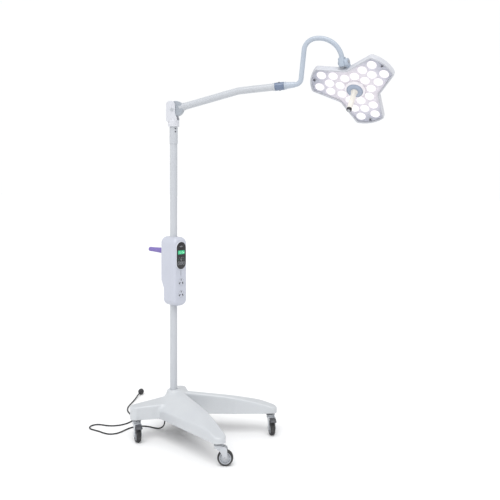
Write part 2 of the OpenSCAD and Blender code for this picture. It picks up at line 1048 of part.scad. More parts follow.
module push_grip() {
    color([0.46, 0.4, 0.72])
        at_box()
            translate([0, 0, grip_height])
                difference() {
                    union() {
                        translate([-grip_end + 4, 0, 0])
                            rotate([0, 90, 0])
                                cylinder(r1 = 11.5, r2 = 16.5, h = grip_end - 4 - box_l / 2 - 1);
                        translate([-grip_end, 0, 0])
                            rotate([0, 90, 0])
                                cylinder(r1 = 8, r2 = 11.5, h = 4);
                    }
                    translate([-grip_end + 12, 0, 0])
                        straight(8, 200);
                }
}

// ---- cord ---------------------------------------------------------------------

// Catmull-Rom points along the route, rings per span
function route_point(p, i, t) =
    let (a = p[max(i - 1, 0)], b = p[i], c = p[i + 1], d = p[min(i + 2, len(p) - 1)])
    0.5 * (2 * b + (c - a) * t + (2 * a - 5 * b + 4 * c - d) * t * t
        + (3 * b - a - 3 * c + d) * t * t * t);
ring_steps = 2;
cord_path = concat([for (i = [0:len(cord_route) - 2], k = [0:ring_steps - 1])
    route_point(cord_route, i, k / ring_steps)], [plug_from]);
function unit(v) = v / norm(v);
function heading(p, i) = unit(p[min(i + 1, len(p) - 1)] - p[max(i - 1, 0)]);
cord_sides = 8;
cord_side_dir = [0, 1, 0];
function flat_side(h) = unit(cross(h, abs(h[2]) > 0.9 ? cord_side_dir : [0, 0, 1]));
function carried(p, i, side) =
    let (h = heading(p, i), s = side - h * (side * h)) unit(s);
function sides_along(p, i, side) =
    i >= len(p) ? [] : let (s = carried(p, i, side)) concat([s], sides_along(p, i + 1, s));
ring_sides = sides_along(cord_path, 0, flat_side(heading(cord_path, 0)));

module power_cord() {
    n = len(cord_path);
    points = [for (i = [0:n - 1], k = [0:cord_sides - 1])
        let (h = heading(cord_path, i), s = ring_sides[i], u = cross(h, s),
            a = 360 * (k + 0.5) / cord_sides)
        cord_path[i] + cord_r * (s * cos(a) + u * sin(a))];
    walls = [for (i = [0:n - 2], k = [0:cord_sides - 1])
        let (k2 = (k + 1) % cord_sides)
        [i * cord_sides + k, (i + 1) * cord_sides + k,
            (i + 1) * cord_sides + k2, i * cord_sides + k2]];
    first = [for (k = [0:cord_sides - 1]) k];
    last = [for (k = [cord_sides - 1:-1:0]) (n - 1) * cord_sides + k];
    color([0.04, 0.04, 0.05])
        polyhedron(points = points, faces = concat([first], walls, [last]));
}

// Tapered sleeve where the cord leaves the underside of the base
module strain_relief() {
    color([0.05, 0.05, 0.06])
        translate([cord_x, cord_y, 0]) {
            translate([0, 0, cord_route[0][2]])
                cylinder(r1 = cord_r + 1.2, r2 = 7.5, h = leg_z - cord_route[0][2] - 3);
            translate([0, 0, leg_z - 3])
                cylinder(r = 10, h = 4);
            translate([0, 0, leg_z])
                cylinder(r = 6, h = 8);
        }
}

// Plug body lying on the floor, with its three pins
module mains_plug() {
    color([0.05, 0.05, 0.06])
        translate(plug_from)
            rotate([0, 0, plug_yaw - 90]) {
                rotate([-90, 0, 0])
                    cylinder(r1 = 5.5, r2 = 13, h = 22);
                translate([0, 22, 0])
                    rotate([-90, 0, 0])
                        cylinder(r = 16.5, h = 18);
                for (a = [-30, 30])
                    translate([a * 0.22, 40, -4])
                        rotate([0, a, 0])
                            slab(-0.9, 0.9, -eps, 17, -3.2, 3.2);
                slab(-0.9, 0.9, 39.9, 58, 5, 11.4);
            }
}

base_cover();
base_frame();
ballast_plate();
caster_sockets();
housing_screws();
caster_fork(stem_fl, true);  // fork_fl
caster_fork(stem_fr);  // fork_fr
caster_fork(stem_rl);  // fork_rl
caster_fork(stem_rr, true);  // fork_rr
caster_axle(stem_fl, true);  // axle_fl
caster_axle(stem_fr);  // axle_fr
caster_axle(stem_rl);  // axle_rl
caster_axle(stem_rr, true);  // axle_rr
caster_hub(stem_fl);  // hub_fl
caster_hub(stem_fr);  // hub_fr
caster_hub(stem_rl);  // hub_rl
caster_hub(stem_rr);  // hub_rr
caster_tyre(stem_fl);  // tyre_fl
caster_tyre(stem_fr);  // tyre_fr
caster_tyre(stem_rl);  // tyre_rl
caster_tyre(stem_rr);  // tyre_rr
brake_pedal(stem_fl);  // brake_pedal_fl
brake_pedal(stem_rr);  // brake_pedal_rr
pole();
pole_sleeve();
swivel_spindle();
swivel_yoke();
hinge_bolt();
arm_tube();
arm_collar();
neck_sleeve();
gooseneck();
head_sleeve();
tilt_pin();
head_bracket();
head_back();
head_bezel();
head_cover();
led_board();
led_lenses();
centre_boss();
cover_screws();
handle_grip();
handle_cap();
box_back();
box_front();
box_clamp();
panel();
display();
button_power();
button_up();
button_down();
outlets();
power_pack();
push_grip();
power_cord();
strain_relief();
mains_plug();
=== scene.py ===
import math
import bpy
import numpy as np
from mathutils import Matrix, Vector


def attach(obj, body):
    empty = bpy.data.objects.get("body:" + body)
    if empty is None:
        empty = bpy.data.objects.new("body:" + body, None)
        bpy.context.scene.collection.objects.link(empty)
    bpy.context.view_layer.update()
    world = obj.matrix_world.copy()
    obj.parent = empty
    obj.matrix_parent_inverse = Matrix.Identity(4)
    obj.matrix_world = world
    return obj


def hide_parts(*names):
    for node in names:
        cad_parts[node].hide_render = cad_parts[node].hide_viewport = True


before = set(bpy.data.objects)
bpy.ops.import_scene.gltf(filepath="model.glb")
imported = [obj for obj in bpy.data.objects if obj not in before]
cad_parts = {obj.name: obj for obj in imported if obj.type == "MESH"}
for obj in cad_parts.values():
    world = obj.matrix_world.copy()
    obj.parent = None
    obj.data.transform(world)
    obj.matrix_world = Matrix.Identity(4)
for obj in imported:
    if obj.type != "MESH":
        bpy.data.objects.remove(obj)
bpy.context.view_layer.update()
print("frame loaded", len(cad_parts), "nodes")

# frames of the moving parts, in millimetres as in the CAD source


def shift(x, y, z):
    m = np.eye(4)
    m[:3, 3] = (x, y, z)
    return m


def turn(axis, degrees):
    return np.array(Matrix.Rotation(math.radians(degrees), 4, axis))


def afterBend(radius, angle):
    # End of a bend that starts along local X, upwards for a positive angle
    side = 1 if angle > 0 else -1
    a = math.radians(abs(angle))
    return shift(radius * math.sin(a), 0, side * radius * (1 - math.cos(a))) @ turn("Y", -angle)


def runEnd(run):
    m = np.eye(4)
    for length, radius, angle in run:
        m = m @ shift(length, 0, 0) @ afterBend(radius, angle)
    return m


def runLine(run, lead=0.0, step=2.5):
    # Centre line of straights and bends in the local XZ plane
    out, m = [np.array([-lead, 0.0, 0.0])], np.eye(4)
    for length, radius, angle in run:
        pieces = max(1, int(length // 14))
        first = 0 if length and len(out) > 1 else 1
        out += [(m @ shift(length * k / pieces, 0, 0))[:3, 3] for k in range(first, pieces + 1)]
        m = m @ shift(length, 0, 0)
        turns = int(abs(angle) // step) + 1 if angle else 0
        out += [(m @ afterBend(radius, angle * k / turns))[:3, 3] for k in range(1, turns + 1)]
        m = m @ afterBend(radius, angle)
    line = np.array(out)
    keep = np.r_[True, np.linalg.norm(np.diff(line, axis=0), axis=1) > 0.05]
    return line[keep]


armRun = [(348, 180, -9.5), (175, 0, 0)]
neckRun = [(44, 32, 79), (147, 62, -74), (0, 120, -92.7), (15, 0, 0)]
atColumn = turn("Z", 19)
atArmBolt = atColumn @ shift(-2, 0, 1692)
atPivot = atArmBolt @ turn("Y", -14.5)
atArmEnd = atPivot @ runEnd(armRun)
atNeckEnd = atArmEnd @ shift(62, 0, 0) @ runEnd(neckRun[:3]) @ turn("Y", -90)
atSleeve = atNeckEnd @ turn("Z", 70)
atHinge = atSleeve @ shift(0, -12, -24) @ turn("Y", 46)
atHead = atHinge @ shift(156, 0, -28)
atBox = turn("Z", -14.5)
atPushRod = atBox @ shift(0, 0, 946)
upright = np.eye(4)

# mesh makers: each returns a closed solid as (points, faces)


def moved(points, m):
    # Points turned and shifted by a 4 x 4 matrix
    return points @ m[:3, :3].T + m[:3, 3]


def outward(points, faces):
    # Turns every face if the solid's signed volume is negative
    total = 0.0
    for f in faces:
        if f.ndim == 2:
            for k in range(1, f.shape[1] - 1):
                a, b, c = points[f[:, 0]], points[f[:, k]], points[f[:, k + 1]]
                total += float(np.einsum("ij,ij->", a, np.cross(b, c)))
    return [f[:, ::-1] if total < 0 else f for f in faces]


def solid(rings, m=upright, around=False):
    # Rings of points (rings, per ring, 3); open ends are closed by flat faces
    count, per = rings.shape[:2]
    i = np.arange(count if around else count - 1)[:, None]
    k = np.arange(per)[None, :]
    j, n = (i + 1) % count, (k + 1) % per
    quads = np.stack([i * per + k, i * per + n, j * per + n, j * per + k], -1).reshape(-1, 4)
    faces = [quads]
    if not around:
        faces += [np.arange(per)[::-1][None, :], (np.arange(per) + (count - 1) * per)[None, :]]
    points = moved(rings.reshape(-1, 3), m)
    return points, outward(points, faces)


def soften(corners, radius, closed=False, steps=5):
    # Rounds each corner of a polyline with a quadratic arc that starts radius away
    p = np.array(corners, float)
    n = len(p)
    out = []
    for i in range(n):
        if not closed and i in (0, n - 1):
            out.append(p[i][None])
            continue
        a, b, c = p[i - 1], p[i], p[(i + 1) % n]
        la, lc = np.linalg.norm(a - b), np.linalg.norm(c - b)
        ra, rc = min(radius, la * 0.45), min(radius, lc * 0.45)
        s, e = b + (a - b) / la * ra, b + (c - b) / lc * rc
        t = np.linspace(0, 1, steps)[:, None]
        out.append((1 - t) ** 2 * s + 2 * t * (1 - t) * b + t ** 2 * e)
    return np.concatenate(out)


def lathe(profile, m=upright, sides=64, bevel=0.6, around=False):
    # Turns a profile of (radius, height) about the local Z axis
    p = soften(profile, bevel, around) if bevel else np.array(profile, float)
    r = np.maximum(p[:, 0], 0.02)
    a = np.linspace(0, 2 * math.pi, sides, endpoint=False)
    z = np.repeat(p[:, 1][:, None], sides, 1)
    return solid(np.stack([np.outer(r, np.cos(a)), np.outer(r, np.sin(a)), z], -1), m, around)


def pin(radius, low, high, m, sides, bevel):
    # Plain round bar along local Z from low to high
    return lathe([(0, low), (radius, low), (radius, high), (0, high)], m, sides, bevel)


def tube(line, radius, m=upright, sides=32, flat=(1.0, 1.0)):
    # A round or oval bar along a line of points, its ring carried without twist
    line = np.array(line, float)
    head = np.gradient(line, axis=0)
    head /= np.linalg.norm(head, axis=1)[:, None]
    side = np.cross(head[0], [0, 0, 1] if abs(head[0][2]) < 0.9 else [0, 1, 0])
    sideways = []
    for h in head:
        side = side - h * (side @ h)
        side = side / np.linalg.norm(side)
        sideways.append(side)
    s = np.array(sideways)
    u = np.cross(head, s)
    a = np.linspace(0, 2 * math.pi, sides, endpoint=False)
    r = np.broadcast_to(np.asarray(radius, float), (len(line),))[:, None, None]
    rings = line[:, None] + r * (s[:, None] * (np.cos(a) * flat[0])[None, :, None]
                                 + u[:, None] * (np.sin(a) * flat[1])[None, :, None])
    return solid(rings, m)


def roundRect(hx, hy, r, steps=8):
    # Anticlockwise rectangle of half sides hx and hy with four quarter circles
    r = min(r, hx - 1e-3, hy - 1e-3)
    t = np.linspace(0, math.pi / 2, steps)
    arcs = [np.stack([sx * (hx - r) + r * np.cos(t + q), sy * (hy - r) + r * np.sin(t + q)], -1)
            for q, sx, sy in ((0, 1, 1), (math.pi / 2, -1, 1), (math.pi, -1, -1), (1.5 * math.pi, 1, -1))]
    return np.concatenate(arcs)


def inward(outline):
    # Unit normals that point into an anticlockwise outline
    d = np.roll(outline, -1, 0) - np.roll(outline, 1, 0)
    d /= np.linalg.norm(d, axis=1)[:, None] + 1e-12
    return np.stack([-d[:, 1], d[:, 0]], -1)


def plate(outline, levels, m=upright, around=False):
    # Rings of one outline, each at its (inset, height)
    n = inward(outline)
    rings = [np.c_[outline + n * inset, np.full(len(outline), z)] for inset, z in levels]
    return solid(np.array(rings), m, around)


def edges(z0, z1, bottom, top, steps=5):
    # Levels of a plate from z0 to z1 whose lower and upper edges are rounded
    t = np.linspace(0, math.pi / 2, steps)
    low = [(bottom * (1 - math.sin(a)), z0 + bottom * (1 - math.cos(a))) for a in t] if bottom else [(0, z0)]
    high = [(top * (1 - math.cos(a)), z1 - top * (1 - math.sin(a))) for a in t] if top else [(0, z1)]
    return low + high


def block(x0, x1, y0, y1, z0, z1, m=upright, corner=3.0, edge=1.0):
    box = roundRect((x1 - x0) / 2, (y1 - y0) / 2, max(corner, edge + 0.05), 6)
    at = m @ shift((x0 + x1) / 2, (y0 + y1) / 2, 0)
    return plate(box, edges(z0, z1, edge, edge), at)


# Local Z turned onto X, -X and -Y, and onto X with local X on Y
alongX = turn("Y", 90)
alongBackX = turn("Y", -90)
alongBackY = turn("X", 90)
frontward = turn("Y", 90) @ turn("Z", 90)


def outwards(side):
    # Local Z turned onto Y for side 1 and onto -Y for side -1
    return turn("X", -90 * side)


made = {}


def addPiece(name, parts, body, finishes, replaced=(), sharp=32):
    # Joins parts, each (points, faces) or (points, faces, index of its finish), into one piece
    points, faces, picks, start = [], [], [], 0
    for part in parts:
        p, fs = part[:2]
        pick = part[2] if len(part) > 2 else 0
        for f in fs:
            faces.append(f + start)
            picks.append(np.full(len(f), pick))
        points.append(p)
        start += len(p)
    loops = [f.reshape(-1) for f in faces]
    sizes = np.concatenate([np.full(len(f), f.shape[1]) for f in faces])
    mesh = bpy.data.meshes.new(name)
    everyPoint = np.concatenate(points) * 0.001
    mesh.vertices.add(len(everyPoint))
    mesh.vertices.foreach_set("co", everyPoint.astype(np.float32).ravel())
    mesh.loops.add(int(sizes.sum()))
    mesh.loops.foreach_set("vertex_index", np.concatenate(loops).astype(np.int32))
    mesh.polygons.add(len(sizes))
    mesh.polygons.foreach_set("loop_start", (np.cumsum(sizes) - sizes).astype(np.int32))
    mesh.polygons.foreach_set("material_index", np.concatenate(picks).astype(np.int32))
    mesh.polygons.foreach_set("use_smooth", np.ones(len(sizes), bool))
    mesh.update(calc_edges=True)
    mesh.validate()
    mesh.set_sharp_from_angle(angle=math.radians(sharp))
    for f in finishes:
        mesh.materials.append(f)
    obj = bpy.data.objects.new(name, mesh)
    bpy.context.scene.collection.objects.link(obj)
    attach(obj, body)
    if replaced:
        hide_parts(*replaced)
    made[name] = obj
    return obj


# materials: a wire carries a node's output and does sums on it


class Wire:
    def __init__(self, paint, out):
        self.paint, self.out = paint, out

    def sum(self, operation, *others, clamp=False):
        n = self.paint.tree.nodes.new("ShaderNodeMath")
        n.operation, n.use_clamp = operation, clamp
        for socket, value in zip(n.inputs, (self, *others)):
            self.paint.put(socket, value)
        return Wire(self.paint, n.outputs[0])

    def __add__(self, other):
        return self.sum("ADD", other)

    def __sub__(self, other):
        return self.sum("SUBTRACT", other)

    def __mul__(self, other):
        return self.sum("MULTIPLY", other)

    def between(self, low, high):
        # 0 below low, 1 above high, smooth between; falls instead if low is above high
        n = self.paint.tree.nodes.new("ShaderNodeMapRange")
        n.interpolation_type = "SMOOTHSTEP"
        flip = low > high
        values = (self, min(low, high), max(low, high), 1.0 if flip else 0.0, 0.0 if flip else 1.0)
        for socket, value in zip(n.inputs, values):
            self.paint.put(socket, value)
        return Wire(self.paint, n.outputs[0])


class Paint:
    def __init__(self, name):
        self.material = bpy.data.materials.new(name)
        self.material.use_nodes = True
        self.tree = self.material.node_tree
        self.shader = self.tree.nodes["Principled BSDF"]
        self.place = self.node("ShaderNodeTexCoord", "Object")
        parts = self.tree.nodes.new("ShaderNodeSeparateXYZ")
        self.put(parts.inputs[0], self.place)
        self.x, self.y, self.z = (Wire(self, o) for o in parts.outputs)

    def put(self, socket, value):
        if isinstance(value, Wire):
            self.tree.links.new(value.out, socket)
        elif hasattr(value, "__len__") and len(value) == 3 and len(socket.default_value) == 4:
            socket.default_value = (*value, 1.0)
        else:
            socket.default_value = value

    def node(self, kind, out=0, inputs=None, **settings):
        n = self.tree.nodes.new(kind)
        for key, value in settings.items():
            setattr(n, key, value)
        for key, value in (inputs or {}).items():
            self.put(n.inputs[key], value)
        return Wire(self, n.outputs[out])

    def noise(self, scale, detail=3.0, rough=0.55, stretch=None):
        place = self.place
        if stretch:
            place = self.node("ShaderNodeMapping", inputs={"Vector": place, "Scale": stretch})
        return self.node("ShaderNodeTexNoise", "Fac",
                         {"Vector": place, "Scale": scale, "Detail": detail, "Roughness": rough})

    def mix(self, factor, a, b):
        n = self.tree.nodes.new("ShaderNodeMix")
        n.data_type = "RGBA"
        for index, value in ((0, factor), (6, a), (7, b)):
            self.put(n.inputs[index], value)
        return Wire(self, n.outputs[2])

    def value(self, factor, a, b):
        return factor * (b - a) + a

    def toShader(self, **inputs):
        for key, value in inputs.items():
            self.put(self.shader.inputs[key.replace("_", " ")], value)


def surface(name, color, shade, rough, **more):
    # Tinted body colour with smudges, fine grain and, low down, settled dust
    look = {"metallic": 0.0, "coat": 0.0, "smudge": 0.07, "grain": 900.0, "grainDepth": 0.05,
            "wave": 28.0, "waveDepth": 0.0, "tint": 0.5, "dust": 0.0, "specks": 0.0, "brush": None,
            "coatRough": 0.08, "ior": 1.5, **more}
    p = Paint(name)
    broad = p.noise(7.0, 3.0)
    marks = p.noise(31.0, 4.0, 0.65)
    color = p.mix(broad.between(0.32, 0.72) * look["tint"], color, shade)
    roughness = marks.between(0.35, 0.7) * look["smudge"] + (rough - look["smudge"] * 0.4)
    if look["specks"]:
        spots = p.noise(420.0, 2.0).between(0.7, 0.76) * look["specks"]
        color = p.mix(spots, color, tuple(c * 0.55 for c in shade))
    if look["dust"]:
        settled = p.z.between(0.26, 0.0) * p.noise(55.0, 5.0, 0.7).between(0.42, 0.7) * look["dust"]
        color = p.mix(settled, color, (0.42, 0.4, 0.37))
        roughness = roughness + settled * 0.35
    if look["brush"]:
        lines = p.noise(60.0, 3.0, 0.6, look["brush"])
        roughness = roughness + (lines - 0.5) * 0.25
        height = lines
    else:
        height = p.noise(look["grain"], 2.0)
    if look["waveDepth"]:
        height = height + p.noise(look["wave"], 1.0) * look["waveDepth"]
    bump = p.node("ShaderNodeBump", "Normal", {"Strength": look["grainDepth"], "Distance": 0.001, "Height": height})
    p.toShader(Base_Color=color, Roughness=roughness, Normal=bump, Metallic=look["metallic"],
               Coat_Weight=look["coat"], Coat_Roughness=look["coatRough"], IOR=look["ior"])
    return p.material


shellWhite = surface("shellWhite", (0.6, 0.61, 0.65), (0.55, 0.565, 0.61), 0.3, coat=0.25, specks=0.06,
                     waveDepth=0.5, grainDepth=0.06)
baseWhite = surface("baseWhite", (0.53, 0.55, 0.57), (0.49, 0.51, 0.54), 0.34, coat=0.2, specks=0.08,
                    dust=0.12, waveDepth=0.6, grainDepth=0.08)
boxWhite = surface("boxWhite", (0.5, 0.52, 0.59), (0.46, 0.48, 0.55), 0.36, coat=0.12, specks=0.06,
                   grain=1500.0, grainDepth=0.1)
powderWhite = surface("powderWhite", (0.49, 0.51, 0.54), (0.45, 0.47, 0.505), 0.38, coat=0.15,
                      grain=1300.0, grainDepth=0.16, specks=0.15)
neckGrey = surface("neckGrey", (0.42, 0.47, 0.54), (0.37, 0.42, 0.5), 0.3, coat=0.2, grain=1200.0,
                   grainDepth=0.08)
collarBlue = surface("collarBlue", (0.15, 0.195, 0.29), (0.12, 0.16, 0.25), 0.3, coat=0.3,
                     grainDepth=0.06)
bracketGrey = surface("bracketGrey", (0.42, 0.48, 0.56), (0.37, 0.43, 0.52), 0.32, metallic=0.15, coat=0.2,
                      grain=1100.0, grainDepth=0.08)
boltSteel = surface("boltSteel", (0.5, 0.51, 0.53), (0.42, 0.43, 0.46), 0.3, metallic=0.9,
                    brush=(1.0, 1.0, 14.0), grainDepth=0.12)
screwSteel = surface("screwSteel", (0.16, 0.16, 0.18), (0.1, 0.1, 0.12), 0.34, metallic=0.8,
                     grainDepth=0.1)
frameSteel = surface("frameSteel", (0.05, 0.053, 0.06), (0.035, 0.037, 0.042), 0.5, metallic=0.3, dust=0.2,
                     grainDepth=0.3)
forkGrey = surface("forkGrey", (0.5, 0.52, 0.55), (0.45, 0.47, 0.5), 0.38, metallic=0.1, coat=0.1, dust=0.1,
                   grain=1000.0, grainDepth=0.14)
hubGrey = surface("hubGrey", (0.42, 0.44, 0.47), (0.37, 0.39, 0.43), 0.42, dust=0.1, grainDepth=0.12)
tyreBlack = surface("tyreBlack", (0.014, 0.014, 0.016), (0.022, 0.022, 0.023), 0.58, dust=0.12, smudge=0.14,
                    grain=700.0, grainDepth=0.35)
pedalGrey = surface("pedalGrey", (0.07, 0.073, 0.085), (0.05, 0.052, 0.06), 0.5, dust=0.15,
                    grain=800.0, grainDepth=0.4)
blackPlastic = surface("blackPlastic", (0.02, 0.02, 0.023), (0.03, 0.03, 0.033), 0.4,
                       grainDepth=0.2)
creamGrip = surface("creamGrip", (0.74, 0.715, 0.66), (0.69, 0.66, 0.6), 0.34, coat=0.15,
                    grainDepth=0.06)
purpleGrip = surface("purpleGrip", (0.19, 0.14, 0.42), (0.155, 0.11, 0.36), 0.46, grain=900.0,
                     grainDepth=0.3)
cordBlack = surface("cordBlack", (0.006, 0.006, 0.007), (0.01, 0.01, 0.011), 0.5, smudge=0.12,
                    grain=1600.0, grainDepth=0.2, dust=0.0)
panelGloss = surface("panelGloss", (0.007, 0.007, 0.009), (0.012, 0.012, 0.015), 0.32, coat=0.25,
                     grainDepth=0.02)
panelTrim = surface("panelTrim", (0.62, 0.64, 0.7), (0.55, 0.57, 0.63), 0.3, coat=0.2)
buttonWhite = surface("buttonWhite", (0.42, 0.44, 0.48), (0.36, 0.38, 0.43), 0.42, grainDepth=0.12)
# Painted shade: the arm's knuckle disc takes this darker grey instead of the arm's white, for the shade it sits in
# beyond the near yoke cheek
knuckleShadeGrey = surface("knuckleShadeGrey", (0.34, 0.37, 0.41), (0.3, 0.33, 0.37), 0.36, coat=0.15, grainDepth=0.06)
seamGrey = surface("seamGrey", (0.2, 0.21, 0.24), (0.16, 0.17, 0.2), 0.5)
printGrey = surface("printGrey", (0.42, 0.44, 0.47), (0.36, 0.38, 0.41), 0.4)
slotDark = surface("slotDark", (0.012, 0.012, 0.016), (0.008, 0.008, 0.01), 0.7)
brass = surface("brass", (0.62, 0.47, 0.2), (0.55, 0.4, 0.17), 0.3, metallic=1.0, brush=(1.0, 14.0, 1.0))
boardWhite = surface("boardWhite", (0.7, 0.72, 0.75), (0.62, 0.64, 0.69), 0.5)
packGreen = surface("packGreen", (0.05, 0.16, 0.08), (0.03, 0.11, 0.05), 0.45)
ironPaint = surface("ironPaint", (0.05, 0.052, 0.058), (0.035, 0.036, 0.04), 0.6, grain=300.0,
                    grainDepth=0.5)
print("plain finishes made")

# camera and light

camera = bpy.data.objects.new("camera", bpy.data.cameras.new("camera"))
bpy.context.scene.collection.objects.link(camera)
camera.location = (2.307, -3.127, 1.37)
camera.rotation_euler = (math.pi / 2, 0, math.atan2(0.5075, 0.8616))
camera.data.lens, camera.data.sensor_width = 53.0, 36.0
camera.data.shift_y = -0.158
camera.data.clip_start, camera.data.clip_end = 0.05, 60
bpy.context.scene.camera = camera

# cord, laid out behind the stand

cordShape = {"diameter": 0.007, "exit": (-0.05, -0.011, 0.1), "plugYaw": 111.8}
cordRoute = np.array([
    (-0.050, -0.011, 0.100), (-0.050, -0.011, 0.074), (-0.050, -0.011, 0.054), (-0.054, -0.011, 0.034),
    (-0.068, -0.011, 0.016), (-0.092, -0.011, 0.006), (-0.122, -0.011, 0.0036), (-0.150, -0.011, 0.0036),
    (-0.174, -0.014, 0.0036),
    (-0.198, -0.026, 0.0036), (-0.220, -0.050, 0.0036), (-0.230, -0.082, 0.0036), (-0.232, -0.116, 0.0036),
    (-0.232, -0.150, 0.0036), (-0.240, -0.182, 0.0036), (-0.264, -0.203, 0.0036), (-0.298, -0.206, 0.0036),
    (-0.334, -0.200, 0.0036), (-0.370, -0.198, 0.0036), (-0.402, -0.194, 0.0036), (-0.424, -0.176, 0.0036),
    (-0.430, -0.150, 0.0036), (-0.416, -0.126, 0.0036), (-0.388, -0.116, 0.0036), (-0.354, -0.110, 0.0036),
    (-0.322, -0.092, 0.0036), (-0.300, -0.062, 0.0036), (-0.290, -0.026, 0.0036), (-0.292, 0.012, 0.0036),
    (-0.310, 0.048, 0.0036), (-0.342, 0.078, 0.0036), (-0.380, 0.102, 0.0036), (-0.418, 0.130, 0.0036),
    (-0.450, 0.166, 0.0036), (-0.474, 0.208, 0.0036), (-0.494, 0.254, 0.0036), (-0.512, 0.300, 0.005),
    (-0.528, 0.341, 0.010), (-0.540, 0.372, 0.015), (-0.550, 0.397, 0.017)])


def throughPoints(p, steps):
    # Catmull-Rom curve through the points
    q = np.concatenate([p[:1], p, p[-1:]])
    t = np.linspace(0, 1, steps, endpoint=False)[None, :, None]
    a, b, c, d = (q[k:len(q) - 3 + k, None] for k in range(4))
    curve = 0.5 * (2 * b + (c - a) * t + (2 * a - 5 * b + 4 * c - d) * t ** 2 + (3 * b - a - 3 * c + d) * t ** 3)
    return np.concatenate([curve.reshape(-1, 3), p[-1:]])


cordLine = throughPoints(cordRoute, 6)
cordLength = float(np.linalg.norm(np.diff(cordLine, axis=0), axis=1).sum())
mainsCord = addPiece("mainsCord", [tube(cordLine * 1000, 3.5, sides=20)], "stand", [cordBlack],
                     ["power_cord"], sharp=60)
boot = [(0, 76), (4.9, 76), (4.9, 79)]
# Ribs that widen up the boot
for ringZ in (80.5, 86, 91.5, 97):
    up = ringZ - 80
    boot += [(5.2 + up * 0.11, ringZ), (5.4 + up * 0.12, ringZ + 3), (4.4 + up * 0.12, ringZ + 3.4),
             (4.4 + up * 0.12, ringZ + 5)]
boot += [(7.2, 104.6), (10, 105), (10, 108.8), (6, 109), (6, 116), (0, 116)]
reliefBoot = addPiece("reliefBoot", [lathe(boot, shift(-50, -11, 0), 40, 0.5)], "stand", [cordBlack],
                      ["strain_relief"])
plugAt = shift(-550, 397, 17) @ turn("Z", cordShape["plugYaw"])
plugBody = [(0, -3), (5.2, -3), (5.6, 0), (7, 8), (10, 16), (13.6, 20), (16, 22.5), (16.5, 25), (16.5, 38),
            (15, 40), (0, 40)]
plugParts = [lathe(plugBody, plugAt @ alongX, 56, 1.2)]
plugParts += [lathe([(16.3, z), (16.9, z + 0.6), (16.9, z + 1.8), (16.3, z + 2.4)], plugAt @ alongX, 56, 0.3, True)
              for z in (26, 29.5, 33)]
plugParts += [lathe([(4.6 + k * 0.75, 1.5 + k * 3.2), (6.1 + k * 0.9, 1.8 + k * 3.2), (6.3 + k * 0.95, 3.4 + k * 3.2),
                     (4.8 + k * 0.8, 3.8 + k * 3.2)], plugAt @ alongX, 40, 0.4, True) for k in range(4)]
for y, z, roll, reach in ((6.6, -4, 30, 57.5), (-6.6, -4, -30, 57.5), (0, 8.2, 0, 58)):
    pinAt = plugAt @ shift(0, y, z) @ turn("X", roll) @ alongX
    plugParts.append(block(-3.2, 3.2, -0.9, 0.9, 39, reach, pinAt, 0.88, 0.5) + (1,))
plugPiece = addPiece("mainsPlug", plugParts, "stand", [blackPlastic, brass], ["mains_plug"])
print("cord laid, length", round(cordLength, 3))

# base cover: rounded legs blended into a hub, as an implicit shape walked by a grid


def surfaceNet(field, low, high, step):
    # Quads round every grid edge whose ends lie on different sides of the surface
    axes = [np.arange(a, b + step, step) for a, b in zip(low, high)]
    g = np.meshgrid(*axes, indexing="ij")
    values = field(*g)
    inside = values < 0
    shape = np.array(inside.shape)
    cells = shape - 1
    total, hits = np.zeros((*cells, 3)), np.zeros(cells)
    crossings = []
    for axis in range(3):
        a = [slice(None)] * 3
        b = [slice(None)] * 3
        a[axis], b[axis] = slice(0, -1), slice(1, None)
        va, vb = values[tuple(a)], values[tuple(b)]
        cross = inside[tuple(a)] != inside[tuple(b)]
        t = np.where(cross, va / np.where(cross, va - vb, 1), 0)
        point = np.stack([c[tuple(a)] for c in g], -1)
        point[..., axis] += t * step
        u, w = (axis + 1) % 3, (axis + 2) % 3
        for du in (0, 1):
            for dw in (0, 1):
                s = [slice(None)] * 3
                s[u] = slice(du, cells[u] + du)
                s[w] = slice(dw, cells[w] + dw)
                picked = cross[tuple(s)]
                total += point[tuple(s)] * picked[..., None]
                hits += picked
        crossings.append((axis, u, w, cross, inside[tuple(a)]))
    used = hits > 0
    index = np.full(used.shape, -1)
    index[used] = np.arange(used.sum())
    points = total[used] / hits[used][:, None]
    quads = []
    for axis, u, w, cross, startsInside in crossings:
        at = np.argwhere(cross)
        at = at[(at[:, u] > 0) & (at[:, w] > 0) & (at[:, u] < cells[u]) & (at[:, w] < cells[w])]
        flips = startsInside[tuple(at.T)]
        ring = []
        for du, dw in ((1, 1), (0, 1), (0, 0), (1, 0)):
            c = at.copy()
            c[:, u] -= du
            c[:, w] -= dw
            ring.append(index[tuple(c.T)])
        q = np.stack(ring, -1)
        quads.append(np.where(flips[:, None], q, q[:, ::-1]))
    for _ in range(4):
        # Newton steps that draw the points onto the surface
        e = 0.15
        f = field(*points.T)
        slope = np.stack([field(*(points + d).T) - field(*(points - d).T) for d in np.eye(3) * e], -1) / (2 * e)
        move = (f / np.maximum((slope ** 2).sum(-1), 0.05))[:, None] * slope
        size = np.linalg.norm(move, axis=1, keepdims=True)
        points = points - move * np.minimum(1, 0.3 * step / np.maximum(size, 1e-9))
    return points, outward(points, [np.concatenate(quads)])


baseShape = {"legZ": 108, "hubTop": 223, "hubR": 30.5, "wall": 8, "edge": 9}


def softMin(a, b, k):
    h = np.clip(0.5 + 0.5 * (b - a) / k, 0, 1)
    return b * (1 - h) + a * h - k * h * (1 - h)


def capsule(x, y, a, b, inset):
    # Plan distance to a tapered bar between two discs: x, y, radius
    span = (b[0] - a[0]) ** 2 + (b[1] - a[1]) ** 2
    t = np.clip(((x - a[0]) * (b[0] - a[0]) + (y - a[1]) * (b[1] - a[1])) / span, 0, 1)
    return np.hypot(x - a[0] - t * (b[0] - a[0]), y - a[1] - t * (b[1] - a[1])) - a[2] - (b[2] - a[2]) * t + inset


